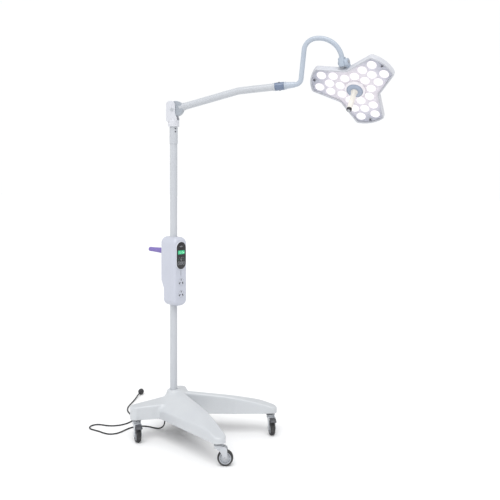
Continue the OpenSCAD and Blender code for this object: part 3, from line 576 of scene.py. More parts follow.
def slope(x, y, a, b, c):
    # Height of the plane through three points
    n = np.cross(np.subtract(b, a), np.subtract(c, a))
    return a[2] - (n[0] * (x - a[0]) + n[1] * (y - a[1])) / n[2]


def capped(side, roof, inset):
    rim = baseShape["edge"] - 0.6 * inset
    side, roof = side + rim, roof + rim
    return np.minimum(np.maximum(side, roof), 0) + np.hypot(np.maximum(side, 0), np.maximum(roof, 0)) - rim


stems = {"fl": (443, 250, -50), "fr": (443, -250, 28), "rl": (-95, 188, 165), "rr": (-95, -188, -40)}


def baseBody(x, y, z, inset):
    f = capped(np.hypot(x, y) - baseShape["hubR"] + inset, z - baseShape["hubTop"] + inset, inset)
    for sx, sy, _ in stems.values():
        away = math.copysign(1, sy)
        root, tip = (math.copysign(12, sx), 84 * away, 47), (sx, sy, 32)
        if sx > 0:
            mid = (0.63 * sx, 0.63 * sy, 38)
            bars = ((0, 0, 31), mid), (mid, tip), (root, mid), (root, tip), ((0, 0, 31), root)
            ahead = np.array([sx, sy]) / math.hypot(sx, sy)
            aside = np.array([-ahead[1], ahead[0]]) * 50
            marks = [(0, 223), (0.36, 209.5), (0.63, 194), (0.83, 172.5), (1.0, 146.5)]
            top = slope(x, y, (0, 0, 225), (12, 84 * away, 184), (*mid[:2], 196))
            for (s0, z0), (s1, z1) in zip(marks, marks[1:]):
                low, high = (s0 * sx, s0 * sy, z0), (s1 * sx, s1 * sy, z1)
                top = softMin(top, slope(x, y, low, high, (low[0] + aside[0], low[1] + aside[1], z0)), 7)
        else:
            bars = (root, tip), ((0, 0, 46), tip)
            top = slope(x, y, (*root[:2], 182), (*tip[:2], 176), (root[0] - 60 * away, root[1] - 30, 182))
        side = None
        for a, b in bars:
            d = capsule(x, y, a, b, inset)
            side = d if side is None else softMin(side, d, 4)
        f = softMin(f, capped(side, z - top + inset, inset), 14)
    slab = np.hypot(x - np.clip(x, -20, 44), y - np.clip(y, -70, 70)) - 47 + inset
    return softMin(f, capped(slab, z - 171 + inset, inset), 14)


def baseField(x, y, z):
    outer = np.maximum(baseBody(x, y, z, 0), baseShape["legZ"] - z)
    shell = np.maximum(outer, -baseBody(x, y, z, baseShape["wall"]))
    return np.maximum(shell, np.where(z > 190, 19.6 - np.hypot(x, y), -50))


baseStep = 3.2
addPiece("baseCover", [surfaceNet(baseField, (-145, -292, 101), (488, 292, 232), baseStep)], "stand", [baseWhite],
         ["base_cover"], sharp=50)
collarRing = lathe([(19.4, 221), (24.5, 221), (25.5, 222.5), (24.5, 225.5), (20.4, 226.5), (19.4, 226)], sides=72,
                   bevel=0.7, around=True)
addPiece("poleGrommet", [collarRing], "stand", [neckGrey], sharp=40)
print("base cover done", len(made["baseCover"].data.polygons))

# casters

forkOutline = soften([(-9, 91), (30, 92), (41, 84), (42, 60), (44, 38), (38, 27), (26, 27), (20, 36), (16, 56),
                      (4, 74), (-9, 80)], 9, True, 6)[::-1]
casterShape = {"trail": 31, "axleZ": 37.5, "forkIn": 14.2, "forkOut": 18.2, "pedalX": 39, "pedalZ": 86}


def caster(key, at, braked):
    # Local X points from the king pin to the axle
    c = casterShape
    m = shift(at[0], at[1], 0) @ turn("Z", at[2])
    wheelAt = m @ shift(c["trail"], 0, c["axleZ"]) @ alongBackY
    pedalAt = m @ shift(c["pedalX"], 0, c["pedalZ"]) @ alongBackY
    crown = [(5.9, 81.2), (20, 81.2), (21, 83), (21, 92), (22.5, 94), (22.5, 97.5), (19, 98.2), (19, 100.6),
             (5.9, 100.6)]
    fork = [lathe(crown, m, 56, 0.9, True)]
    fork += [block(2, 31, -17.6, 17.6, 81.4, 87.5, m, 5, 1.4)]
    for side in (-1, 1):
        low, high = sorted((side * c["forkIn"], side * c["forkOut"]))
        fork.append(plate(forkOutline, edges(-high, -low, 1.3, 1.3), m @ alongBackY))
        fork.append(lathe([(8.6, 0), (11, 0), (10.4, 1.6), (8.6, 1.6)],
                          m @ shift(c["trail"], side * c["forkOut"], c["axleZ"]) @ outwards(side), 40, 0.4, True))
        if braked:
            fork.append(block(31.5, 45, *sorted((side * 14.3, side * 18.1)), 80, 91.5, m, 4, 0.9))
    addPiece("fork_" + key + "_shell", fork, "caster_" + key, [forkGrey], ["fork_" + key])
    hub = [lathe([(5.06, -13), (9.4, -13), (9.8, -10), (12, -8.6), (24.5, -8.6), (25.4, -10.6), (28.4, -10.6),
                  (28.4, 10.6), (25.4, 10.6), (24.5, 8.6), (12, 8.6), (9.8, 10), (9.4, 13), (5.06, 13)],
                 wheelAt, 64, 0.6, True)]
    for k in range(6):
        spoke = wheelAt @ turn("Z", 60 * k)
        hub += [block(9, 25.4, -1.7, 1.7, *z, spoke, 1.6, 0.5) for z in ((-10.4, -8.2), (8.2, 10.4))]
    rings = [lathe([(21.2, z), (22.6, z), (22.6, z + 0.5), (21.2, z + 0.5)], wheelAt, 56, 0.15, True) + (1,)
             for z in (-9.0, 8.5)]
    addPiece("hub_" + key + "_disc", hub + rings, "wheel_" + key, [hubGrey, slotDark], ["hub_" + key])
    tread = [(28.5, -10.5), (31, -12.8), (33.6, -12.8), (36.3, -9.5), (37.3, -4.8), (37.5, -2.2), (37.1, -1.7),
             (37.1, -0.9), (37.5, -0.4), (37.5, 0.4), (37.1, 0.9), (37.1, 1.7), (37.5, 2.2), (37.3, 4.8), (36.3, 9.5),
             (33.6, 12.8), (31, 12.8), (28.5, 10.5)]
    addPiece("tyre_" + key + "_band", [lathe(tread, wheelAt, 96, 0.5, True)], "wheel_" + key, [tyreBlack],
             ["tyre_" + key])
    bolt = [pin(5.95, 84, 122, m, 32, 0.5)]
    bolt += [pin(4.94, -19.8, 19.8, wheelAt, 32, 0.4)]
    for side in (-1, 1):
        nut = m @ shift(c["trail"], side * 18.3, c["axleZ"]) @ outwards(side)
        bolt.append(lathe([(0, 0), (8, 0), (8, 0.9), (6.6, 1.1), (6.4, 3), (3, 3.2), (2.6, 2.2), (0, 2.2)], nut,
                          6 if side > 0 else 40, 0.25))
    if braked:
        bolt.append(pin(1.95, -18.2, 18.2, pedalAt, 20, 0.2))
    addPiece("axle_" + key + "_bolts", bolt, "caster_" + key, [boltSteel], ["axle_" + key])
    if braked:
        lever = soften([(34.4, -4.8), (34.4, 3.5), (52, 4.4), (70, 2.6), (77.4, -2), (77.4, -7.6), (73, -7.8),
                        (68, -2.6), (52, -1.6), (44.5, -2.6), (41, -4.8)], 2.2, True, 5)[::-1]
        pad = [plate(lever, edges(-13.9, 13.9, 1.4, 1.4), m @ shift(0, 0, c["pedalZ"]) @ alongBackY)]
        pad += [block(-1.2, 1.2, -15.6, 15.6, 0, 1.6, m @ shift(x, 0, c["pedalZ"] + z) @ turn("Y", tilt), 1.1, 0.5)
                for x, z, tilt in ((58, 3.5, 5), (62.5, 3, 6), (67, 2.5, 10), (71.3, 1.4, 26))]
        pad += [plate(roundRect(7.6, 16.6, 4.4, 7), edges(0, 3, 1.1, 1.1), m @ shift(70.5, 0, 79.6) @ turn("Y", 30))]
        addPiece("pedal_" + key + "_lever", pad, "pedal_" + key, [pedalGrey], ["brake_pedal_" + key])


for key, at in stems.items():
    caster(key, at, key in ("fl", "rr"))
sockets = []
for x, y, _ in stems.values():
    socketLine = [(6.06, 101.1), (18.4, 101.1), (19.8, 102.2), (19.8, 104), (18.7, 104.6), (20, 105.6),
                  (20, 108), (12, 108.2), (12, 131.5), (6.06, 131.5)]
    sockets.append(lathe(socketLine, shift(x, y, 0), 56, 0.6, True))
addPiece("casterSockets", sockets, "stand", [blackPlastic], ["caster_sockets"])
print("casters done")

# column, swivel and arm

sleeveLine = [(19.1, 1512.4), (21.0, 1512.4), (21.3, 1513.4), (21.3, 1600.6), (20.6, 1601.6), (12.1, 1601.6),
              (12.1, 1571), (19.1, 1569.5)]
addPiece("poleSleeve", [lathe(sleeveLine, sides=72, bevel=0.5, around=True)], "stand", [powderWhite], ["pole_sleeve"])
poleTube = [(17, 118), (19, 118), (19, 1570), (17, 1570)]
addPiece("poleTube", [lathe(poleTube, sides=96, bevel=0.4, around=True)], "stand", [powderWhite], ["pole"])


def screwHead(m, r, height, sides=32, cross=True):
    # Domed head with a cross recess, its seat at the local origin and local Z out of the surface
    parts = [lathe([(0, 0), (r, 0), (r, height * 0.45), (r * 0.8, height * 0.9), (r * 0.3, height), (0, height)], m,
                   sides, 0.3)]
    if cross:
        parts += [block(-r * 0.5, r * 0.5, -r * 0.11, r * 0.11, height * 0.9, height * 1.06, m @ turn("Z", a),
                        0.1, 0.04) + (1,) for a in (0, 90)]
    return parts


screws = []
for z in (1592, 1576):
    screws += screwHead(shift(0, 0, z) @ turn("Z", 62) @ alongBackY @ shift(0, 0, 21.2), 4.3, 1.9)
for y in (-9, 9):
    screws += screwHead(atBox @ shift(31, y, 669) @ turn("X", 180), 3.5, 1.5)
screws += screwHead(turn("Z", -42) @ shift(31.2, 0, 205) @ alongX @ shift(0, 0, -2.4), 4.2, 2.4)
addPiece("housingScrews", screws, "stand", [screwSteel, slotDark], ["housing_screws"])

yokeHead = lathe([(12.1, 1602), (28, 1602), (29, 1603), (29, 1606.5), (28.3, 1607.3), (28.3, 1608.6), (29, 1609.4),
                  (29, 1633), (26, 1637.5), (12.1, 1637.5)], atColumn, 80, 1.2, True)
cheekLine = soften([(-34, 1630), (25, 1630), (24, 1650), (14, 1668), (15, 1720), (3, 1736.4), (-22, 1736.8),
                    (-33.8, 1724)], 9, True, 8)
yokeParts = [yokeHead]
for side in (-1, 1):
    low, high = sorted((side * 17.5, side * 25))
    yokeParts.append(plate(cheekLine, edges(-high, -low, 2.4, 1.0), atColumn @ alongBackY))
    yokeParts.append(lathe([(6.1, 0), (12.5, 0), (12.5, 1.0), (11, 1.6), (6.1, 1.6)],
                           atArmBolt @ shift(0, side * 24.6, 0) @ outwards(side), 48, 0.5, True))
yokeParts.append(block(-34, -31.2, -24, 24, 1632, 1727, atColumn, 1.3, 1.0))
yokeParts.append(block(-32, 13, -18, 18, 1634, 1643, atColumn, 3, 1.4))
yokeParts.append(block(-30, 12, -24.4, 24.4, 1627, 1639, atColumn, 4, 1.2))
addPiece("swivelYoke", yokeParts, "swivel", [shellWhite], ["swivel_yoke"])
boltParts = [pin(5.95, -25.5, 25.5, atArmBolt @ alongBackY, 40, 0.4)]
for side in (-1, 1):
    seat = atArmBolt @ shift(0, side * 26.1, 0) @ outwards(side)
    boltCap = [(0, 0), (9.4, 0), (9.4, 0.7), (8.2, 1.0), (7.8, 3), (3.6, 3.4), (3.2, 1.6), (0, 1.6)]
    boltParts.append(lathe(boltCap, seat, 48, 0.3) + (1,))
addPiece("hingeBolt", boltParts, "swivel", [boltSteel, powderWhite], ["hinge_bolt"])

knuckle = [(6.06, -17.1), (37.6, -17.1), (40, -14.8), (40, -2.4), (39.2, -1.6), (39.2, 1.6), (40, 2.4), (40, 14.8),
           (37.6, 17.1), (6.06, 17.1)]
armTubeLine = runLine([(300, 180, -9.5), (175, 0, 0)], lead=12.0)
# The bolt's bore sits behind the middle of the disc
spin = np.linspace(0, 2 * math.pi, 88, endpoint=False)
knuckleRings = [np.c_[(18 if r > 7 else 0) + r * np.cos(spin), r * np.sin(spin), np.full(88, h)] for r, h in knuckle]
# The knuckle disc's darker finish is painted shade
armParts = [solid(np.array(knuckleRings), atPivot @ alongBackY, True) + (1,),
            tube(armTubeLine, 18.5, atPivot @ shift(48, 0, 0), 56)]
armParts.append(lathe([(18.2, 52), (19.6, 52), (20.6, 53.2), (20.6, 63), (19.4, 64.6), (18.2, 64.6)],
                      atPivot @ alongX, 64, 0.8, True))
armParts.append(lathe([(18.2, -11), (19.7, -11), (20.4, -10), (20.4, -0.6), (19.7, 0), (18.2, 0)],
                      atArmEnd @ alongX, 64, 0.5, True))
addPiece("armTube", armParts, "arm", [powderWhite, knuckleShadeGrey], ["arm_tube"])
collar = [(12.1, 0.2), (20.4, 0.2), (21, 0.9), (21, 3.4), (20.2, 4.0), (20.2, 5.2), (21, 5.8), (21, 42.2),
          (20.2, 42.8), (20.2, 44), (21, 44.6), (21, 47.3), (20.4, 47.9), (12.1, 47.9)]
studs = [lathe([(0, 0), (4.6, 0), (4.6, 1.8), (3.9, 2.4), (0, 2.4)],
               atArmEnd @ shift(24, 0, 0) @ turn("X", a) @ shift(0, 0, 20.6), 28, 0.4) + (1,) for a in (205, 25)]
addPiece("armCollar", [lathe(collar, atArmEnd @ alongX, 80, 0.4, True)] + studs, "arm", [collarBlue, screwSteel],
         ["arm_collar"])
sleeveProfile = [(7, -20), (11.95, -20), (11.95, 48.3), (19.2, 48.3), (20.2, 49), (20.2, 53), (19.3, 53.8),
                 (19.3, 55), (20.2, 55.8), (20.2, 58), (18, 59.6), (17.4, 64), (14.4, 102.6), (13.4, 103.4),
                 (12.52, 103.4), (12.52, 62), (7, 62)]
addPiece("neckSleeve", [lathe(sleeveProfile, atArmEnd @ alongX, 80, 0.7, True)], "neck", [neckGrey], ["neck_sleeve"])
addPiece("gooseNeck", [tube(runLine(neckRun), 12.5, atArmEnd @ shift(62, 0, 0), 48)], "neck", [neckGrey],
         ["gooseneck"])
print("column and arm done")

# head mount: turning sleeve and the hinge knuckle

mountParts = [lathe([(12.58, -15.9), (12.58, -0.2), (13.6, 0.3), (13.6, 4), (17.6, 4), (18.4, 3), (18.4, 0.4),
                     (21, 0), (21, -6), (20.2, -6.7), (20.2, -8), (21, -8.7), (21, -39), (18, -42), (0, -42),
                     (0, -16.2), (4, -15.95)], atSleeve, 72, 0.5)]


def flatSide(part, y):
    # Squashes what lies beyond a flat on the sleeve's side onto the flat
    points, faces = part
    local = moved(points, np.linalg.inv(atSleeve))
    local[:, 1] = np.where(local[:, 2] < 1, np.maximum(local[:, 1], y), local[:, 1])
    return moved(local, atSleeve), faces


mountParts = [flatSide(mountParts[0], -16.0)]
pinAt = atSleeve @ shift(0, 0, -24) @ alongBackY
mountParts.append(lathe([(5.4, -21.6), (9.6, -21.6), (9.2, -20.4), (5.4, -20.0)], pinAt, 40, 0.3, True))
addPiece("headSleeve", mountParts, "head_mount", [bracketGrey], ["head_sleeve"])
pinParts = [pin(4.95, -14, 34, pinAt, 36, 0.4)]
pinParts.append(lathe([(0, 33.9), (8, 33.9), (8, 34.8), (6.4, 36.4), (3, 36.6), (2.7, 35.4), (0, 35.4)],
                      pinAt, 40, 0.3))
addPiece("tiltPin", pinParts, "head_mount", [boltSteel], ["tilt_pin"])

knuckleAt = atHead @ shift(-156, -4.3, 28) @ alongBackY
bracketParts = [lathe([(5.06, 0), (18.6, 0), (20, 1.4), (20, 6.2), (19.3, 6.9), (19.3, 8.2), (20, 8.9), (20, 15.6),
                       (18.6, 17), (5.06, 17)], knuckleAt, 72, 0.6, True)]
bracketParts.append(block(-154, -113, -21.2, -4.4, 14.4, 35.6, atHead, 4, 2.2))
bracketParts.append(block(-125.5, -112.2, -21.8, 21.8, 10.2, 35.8, atHead, 3.2, 1.8))
bracketParts.append(block(-127.4, -125, -19, 19, 13, 33, atHead, 1.1, 0.9))
for y in (8, 14):
    bracketParts.append(lathe([(0, 0), (2.6, 0), (2.6, 1.2), (1.4, 1.5), (0, 0.7)],
                              atHead @ shift(-127.3, y, 23) @ alongBackX, 24, 0.2) + (1,))
addPiece("headBracket", bracketParts, "head", [bracketGrey, screwSteel], ["head_bracket"])

# head: three-lobed outline built from arcs and straights, then evenly spaced

lobe = {"reach": 236, "arcR": 168, "halfAngle": 27.5, "notchR": 126, "tipR": 16, "notchFillet": 30}


def arc(centre, radius, a, b, steps):
    # Points round a centre from angle a to angle b
    t = np.linspace(a, b, steps)[:, None]
    return np.array(centre) + radius * np.c_[np.cos(t), np.sin(t)]


def headOutline(count=630):
    # Half a lobe is an arc, a small tip arc, a straight and a fillet in the notch; mirrored and turned it closes
    c = np.array([lobe["reach"] - lobe["arcR"], 0.0])
    half = math.radians(lobe["halfAngle"])
    corner = c + lobe["arcR"] * np.array([math.cos(half), math.sin(half)])
    notch = lobe["notchR"] * np.array([0.5, math.sqrt(3) / 2])
    d = (notch - corner) / np.linalg.norm(notch - corner)
    n = np.array([-d[1], d[0]])
    r, big = lobe["tipR"], lobe["arcR"] - lobe["tipR"]
    base = corner + r * n - c
    s = -(base @ d) - math.sqrt((base @ d) ** 2 - base @ base + big ** 2)
    tip = c + base + s * d
    out = (tip - c) / np.linalg.norm(tip - c)
    a0, a1 = math.atan2(out[1], out[0]), math.atan2(-n[1], -n[0])
    if a1 < a0:
        a1 += 2 * math.pi
    axis = np.array([0.5, math.sqrt(3) / 2])
    half = math.asin(abs(d @ np.array([-axis[1], axis[0]])))
    lean = math.pi / 2 - half
    cut = lobe["notchFillet"] * math.tan(lean)
    before = notch - d * cut
    mid = before - n * lobe["notchFillet"]
    b0 = math.atan2(n[1], n[0])
    side = np.concatenate([arc(c, lobe["arcR"], 0, a0, 40), arc(tip, r, a0, a1, 24)[1:], before[None],
                           arc(mid, lobe["notchFillet"], b0, b0 - lean, 24)[1:]])
    mirror = side[::-1].copy()
    angle = math.radians(120)
    flip = np.array([[math.cos(angle), math.sin(angle)], [math.sin(angle), -math.cos(angle)]])
    third = np.concatenate([side, (mirror @ flip.T)[1:-1]])
    turns = [third @ np.array(Matrix.Rotation(math.radians(k), 2)).T for k in (0, 120, 240)]
    loop = np.concatenate(turns)
    ring = np.concatenate([loop, loop[:1]])
    run = np.r_[0, np.cumsum(np.linalg.norm(np.diff(ring, axis=0), axis=1))]
    at = np.linspace(0, run[-1], count, endpoint=False)
    return np.c_[np.interp(at, run, ring[:, 0]), np.interp(at, run, ring[:, 1])]


outline = headOutline()
print("head outline", np.round(outline.min(0), 1), np.round(outline.max(0), 1))
outlineTurn = np.arctan2(outline[:, 1], outline[:, 0])


def circle(r):
    return r * np.c_[np.cos(outlineTurn), np.sin(outlineTurn)]


def inset(d):
    return outline + inward(outline) * d


def rim(points, z):
    return np.c_[points, np.full(len(points), z)]


def across(outer, inner, shares, z0, z1=None):
    # Rings that pass from one loop to another, with the height going from z0 to z1
    z1 = z0 if z1 is None else z1
    return [rim(outer * (1 - f) + inner * f, z0 + (z1 - z0) * (2 * f - f * f)) for f in shares]


# face: bezel, clear cover, reflector, lenses

bezelLine = soften([(0, 5), (0, -1), (1, -2.6), (2.6, -3.2), (5.2, -3.2), (5.8, -2.4), (5.9, -1.2), (6.5, -1.2),
                    (6.6, -2.2), (7.2, -2.8), (8.6, -2.7), (9, -2), (9, 5)], 0.5, True, 4)
seam = [rim(inset(d), z) for d, z in ((5.7, -1), (5.7, -1.7), (6.75, -1.7), (6.75, -1))]
addPiece("headBezel", [solid(np.array([rim(inset(d), z) for d, z in bezelLine]), atHead, True),
                       solid(np.array(seam), atHead, True) + (1,)], "head", [shellWhite, seamGrey],
         ["head_bezel"], sharp=50)

coverLook = Paint("clearCover")
haze = coverLook.noise(11.0, 4.0)
scratch = coverLook.noise(90.0, 4.0, 0.6, (1, 7, 2)).between(0.55, 0.75)
coverLook.toShader(Base_Color=coverLook.mix(haze, (0.86, 0.88, 0.93), (0.92, 0.93, 0.97)), IOR=1.49,
                   Roughness=scratch * 0.12 + 0.06, Alpha=haze * 0.03 + 0.07, Coat_Weight=0.3)
clearRings = across(inset(9.3), circle(53.4), (0, 0.004, 0.34, 0.67, 1), 0.0)
clearRings += across(circle(53.4), inset(9.3), (0, 0.33, 0.66, 0.996, 1), 2.4)
addPiece("faceCover", [solid(np.array(clearRings), atHead, True)], "head", [coverLook.material], ["head_cover"],
         sharp=50)

headCentre = atHead[:3, 3] * 0.001
faceLook = Paint("faceReflectorPaintedGlow")
fromCentre = faceLook.node("ShaderNodeVectorMath", "Value", {0: faceLook.place, 1: headCentre.tolist()},
                           operation="DISTANCE")
# Painted light: the reflector face is coloured lighter and pinker towards the middle and darker towards the lobe
# tips, as light and shade rather than its own colour
toTip = (fromCentre + faceLook.noise(9.0, 2.0) * 0.012).between(0.15, 0.222)
paintedGlowMiddle = fromCentre.between(0.2, 0.07)
faceColor = faceLook.mix(paintedGlowMiddle, (0.54, 0.53, 0.6), (0.7, 0.65, 0.69))
faceColor = faceLook.mix(toTip, faceColor, (0.42, 0.43, 0.5))
faceColor = faceLook.mix(faceLook.noise(160.0, 2.0).between(0.55, 0.7) * 0.12, faceColor, (0.5, 0.5, 0.6))
faceBump = faceLook.node("ShaderNodeBump", "Normal", {"Strength": 0.12, "Distance": 0.001,
                                                       "Height": faceLook.noise(420.0, 2.0)})
# The emission is a painted glow: the reflector is no lamp, yet it glows faintly, more towards the middle than at the
# tips
faceLook.toShader(Base_Color=faceColor, Roughness=faceLook.noise(40.0, 3.0) * 0.15 + 0.22, Metallic=toTip * 0.2 + 0.1,
                  Normal=faceBump, Emission_Color=faceLook.mix(toTip, (0.09, 0.085, 0.095), (0.02, 0.02, 0.03)),
                  Emission_Strength=1.0)
shares = (0, 0.004, 0.3, 0.6, 1)
backShares = (0, 0.4, 0.7, 0.996, 1)
reflector = across(inset(9.4), circle(41), shares, 4.6) + across(circle(41), inset(9.4), backShares, 6.2)
board = across(inset(18.2), circle(30.2), shares, 12.0) + across(circle(30.2), inset(18.2), backShares, 15.0)
addPiece("ledBoard", [solid(np.array(reflector), atHead, True), solid(np.array(board), atHead, True) + (1,)], "head",
         [faceLook.material, boardWhite], ["led_board"], sharp=50)

lens = {"r": 25.6, "places": [(182, 39.5), (182, -39.5), (122, 52), (122, -52), (62, 54), (62, -54), (134.6, 0),
                              (79.6, 0)]}
lensLook = Paint("lensGlow")
ring = lensLook.node("ShaderNodeAttribute", "Fac", attribute_name="ring")
grainy = lensLook.node("ShaderNodeTexVoronoi", "Distance", {"Vector": lensLook.place, "Scale": 210.0})
core = lensLook.mix(ring.between(0.35, 0.88), (1.0, 1.0, 1.0), (0.9, 0.87, 0.9))
core = lensLook.mix(grainy.between(0.25, 0.75) * ring.between(0.12, 0.4) * 0.12, core, (0.8, 0.74, 0.8))
core = lensLook.mix(ring.between(0.93, 1.0), core, (0.55, 0.5, 0.55))
lensLook.toShader(Base_Color=lensLook.mix(ring.between(0.55, 0.95), (0.6, 0.6, 0.6), (0.24, 0.22, 0.24)),
                  Roughness=ring * 0.2 + 0.14, Emission_Color=core, Emission_Strength=0.85, Coat_Weight=0.1)
lensProfile = [(15.9, 12), (24.6, 5.0), (25.6, 3.7), (25.6, 3.1), (25, 2.8), (24.2, 2.9), (23.2, 3.6), (16, 4.05),
               (8.4, 4.25), (6.8, 4.2), (5.6, 3.7), (3.0, 3.2), (0, 3.05)]
lensParts, rings = [], []
for k in range(3):
    for along, aside in lens["places"]:
        at = atHead @ turn("Z", 120 * k) @ shift(along, aside, 0)
        part = lathe(lensProfile, at, 44, 0.35)
        lensParts.append(part)
        local = moved(part[0], np.linalg.inv(at))
        rings.append(np.hypot(local[:, 0], local[:, 1]) / lens["r"])
lensPiece = addPiece("ledLenses", lensParts, "head", [lensLook.material], ["led_lenses"], sharp=60)
ringLayer = lensPiece.data.attributes.new("ring", "FLOAT", "POINT")
ringLayer.data.foreach_set("value", np.concatenate(rings).astype(np.float32))
print("face done")

# back shell, boss, screws, handle

bend = np.linspace(0, math.pi / 2, 9)
outer = [rim(inset(0.15), 5.3), rim(inset(0), 6.2), rim(inset(0), 11.6), rim(inset(0.7), 12.2), rim(inset(0.7), 13.2),
         rim(inset(0), 13.8)]
outer += [rim(inset(17 * (1 - math.cos(a))), 18 + 20 * math.sin(a)) for a in bend]
outer += across(inset(17), circle(0.02), (0.02, 0.08, 0.18, 0.3, 0.45, 0.6, 0.75, 0.88, 0.96, 1), 38, 40.5)
inner = across(circle(0.02), inset(9), (0, 0.3, 0.6, 0.9, 1), 30.5) + [rim(inset(7), 26), rim(inset(5), 20),
                                                                       rim(inset(5), 5.6), rim(inset(4.7), 5.3)]
shellPoints, shellFaces = solid(np.array(inner + outer), upright)
hingePoint = np.array([-156, 12, 28.0])
away = shellPoints - hingePoint
distance = np.linalg.norm(away, axis=1, keepdims=True)
shellPoints = moved(hingePoint + away * np.maximum(1, 30.4 / distance), atHead)
backParts = [(shellPoints, shellFaces)]
backParts.append(lathe([(0, 38), (46, 38), (46, 41.4), (44.6, 42.6), (38, 43), (37, 42.2), (36, 42.2), (35, 43.4),
                        (0, 44)], atHead, 88, 0.8))
for k in range(3):
    at = atHead @ turn("Z", 120 * k)
    for aside in (-40, -20, 0, 20, 40):
        reach = 186 - abs(aside) * 0.55
        backParts.append(block(62 + abs(aside) * 0.25, reach, aside - 2.4, aside + 2.4, 37.6, 41.2, at, 2.3, 1.4))
    for along, aside in ((203, 46), (203, -46)):
        backParts += [part[:2] + (len(part) - 1,) for part in screwHead(at @ shift(along, aside, 38.4), 3.6, 1.6, 28)]
addPiece("headBack", backParts, "head", [shellWhite, screwSteel, slotDark], ["head_back"])

screwParts = []
for k in range(3):
    at = atHead @ turn("Z", 120 * k) @ shift(214, 0, 0)
    screwParts += screwHead(at @ turn("X", 180), 4.1, 1.9, 32)
    screwParts.append(pin(2, -0.5, 10, at, 20, 0.2))
    screwParts.append(lathe([(4.6, -0.1), (6.4, -0.1), (6.4, -0.5), (5.9, -0.8), (4.9, -0.8), (4.6, -0.5)],
                            at, 36, 0.1, True))
addPiece("coverScrews", screwParts, "head", [screwSteel, slotDark], ["cover_screws"])

bossWhite = surface("bossWhite", (0.84, 0.81, 0.84), (0.8, 0.77, 0.8), 0.3, coat=0.3, grainDepth=0.05)
bossBlue = surface("bossBlue", (0.36, 0.42, 0.53), (0.32, 0.37, 0.48), 0.28, coat=0.4, grainDepth=0.05)
bossRing = [(53, 4), (53, -3.6), (52, -6.2), (49.6, -7.6), (45.6, -9.6), (42.9, -11.6), (41.6, -11.2), (41.6, 4)]
bossDome = [(5.1, 12), (5.1, -69.9), (8.9, -69.9), (8.9, -17.6), (17, -17.4), (25, -17), (32, -15.8), (37.4, -13.6),
            (40.4, -10), (41, -6), (41, 4), (29.5, 5), (29.5, 12)]
bossLip = [(40.8, -9), (41.9, -11.9), (42.4, -11.6), (41.4, -8.4)]
addPiece("centreBoss", [lathe(bossRing, atHead, 96, 0.8, True), lathe(bossDome, atHead, 88, 0.5, True) + (1,),
                        lathe(bossLip, atHead, 96, 0.3, True) + (1,)], "head",
         [bossWhite, bossBlue], ["centre_boss"])
grip = [(0, -86.2), (9.06, -86.2), (9.06, -18.3), (17.4, -18.3), (18.2, -19.4), (17.8, -23), (16.2, -28),
        (14.7, -32.6), (13.9, -35), (13.4, -35.8), (13.4, -37), (14, -37.8), (13.9, -60), (14, -100), (13.8, -136),
        (13.3, -137), (13.3, -138.2), (13.9, -139.2), (13.9, -147.6), (0, -147.7)]
addPiece("handleGrip", [lathe(grip, atHead, 72, 0.8)], "handle", [creamGrip], ["handle_grip"])
cap = [(0, -147.9), (13.2, -147.9), (13.6, -149), (13.6, -152.4), (13.0, -153), (13.0, -154), (13.5, -154.6),
       (12.8, -158.6), (10.4, -161.4), (7, -162), (6.2, -161), (5.6, -160.4), (0, -160.2)]
capTip = [(0, -160.4), (8.6, -160.6), (8.6, -161.9), (5.6, -162.4), (5, -161.8), (0, -161.8)]
addPiece("handleCap", [lathe(cap, atHead, 64, 0.6), lathe(capTip, atHead, 56, 0.2) + (1,)], "handle",
         [blackPlastic, printGrey], ["handle_cap"])
print("head done")

# control box on the pole



boxShape = {"front": 59, "low": 669, "high": 1026, "split": 20, "gap": 0.2, "round": 30, "flat": 11}


def boxOutline():
    # Side view: each corner becomes an arc that touches both of its sides
    front, low, high = boxShape["front"], boxShape["low"], boxShape["high"]
    corners = [(-front, high), (-front, 798), (-38, 756), (-38, low), (front, low), (front, high)]
    radii = (20, 26, 26, 17, 17, 22)
    out = []
    for i, b in enumerate(corners):
        b = np.array(b, float)
        a, c = np.array(corners[i - 1], float), np.array(corners[(i + 1) % 6], float)
        ua, uc = (a - b) / np.linalg.norm(a - b), (c - b) / np.linalg.norm(c - b)
        half = math.acos(np.clip(ua @ uc, -1, 1)) / 2
        cut = min(radii[i] / math.tan(half), np.linalg.norm(a - b) * 0.49, np.linalg.norm(c - b) * 0.49)
        r = cut * math.tan(half)
        mid = b + (ua + uc) / np.linalg.norm(ua + uc) * r / math.sin(half)
        s, e = b + ua * cut - mid, b + uc * cut - mid
        a0, a1 = math.atan2(s[1], s[0]), math.atan2(e[1], e[0])
        sweep = (a1 - a0 + math.pi) % (2 * math.pi) - math.pi
        out.append(arc(mid, r, a0, a0 + sweep, 12))
    return np.concatenate(out)


side = boxOutline()
sideNormals = inward(side)
levels = [(boxShape["flat"] * (1 - math.sin(a)), boxShape["round"] + boxShape["flat"] * math.cos(a))
          for a in np.linspace(0, math.pi / 2, 9)]
levels += [(0, h) for h in (27.5, 25, 22, 19, 15.5, boxShape["flat"])]
levels = [(d, -h) for d, h in levels] + levels[::-1]


def rounded(loop, d, h):
    # Lowers the top and raises the bottom towards the sides, for the corners of the front view
    r = boxShape["round"]
    drop = max(0.0, r - math.sqrt(r ** 2 - max(0.0, abs(h) - boxShape["flat"]) ** 2) - d)
    up, down = np.clip((loop[:, 1] - 930) / 60, 0, 1), np.clip((765 - loop[:, 1]) / 60, 0, 1)
    return np.c_[loop[:, 0], loop[:, 1] - drop * up ** 2 * (3 - 2 * up) + drop * down ** 2 * (3 - 2 * down)]


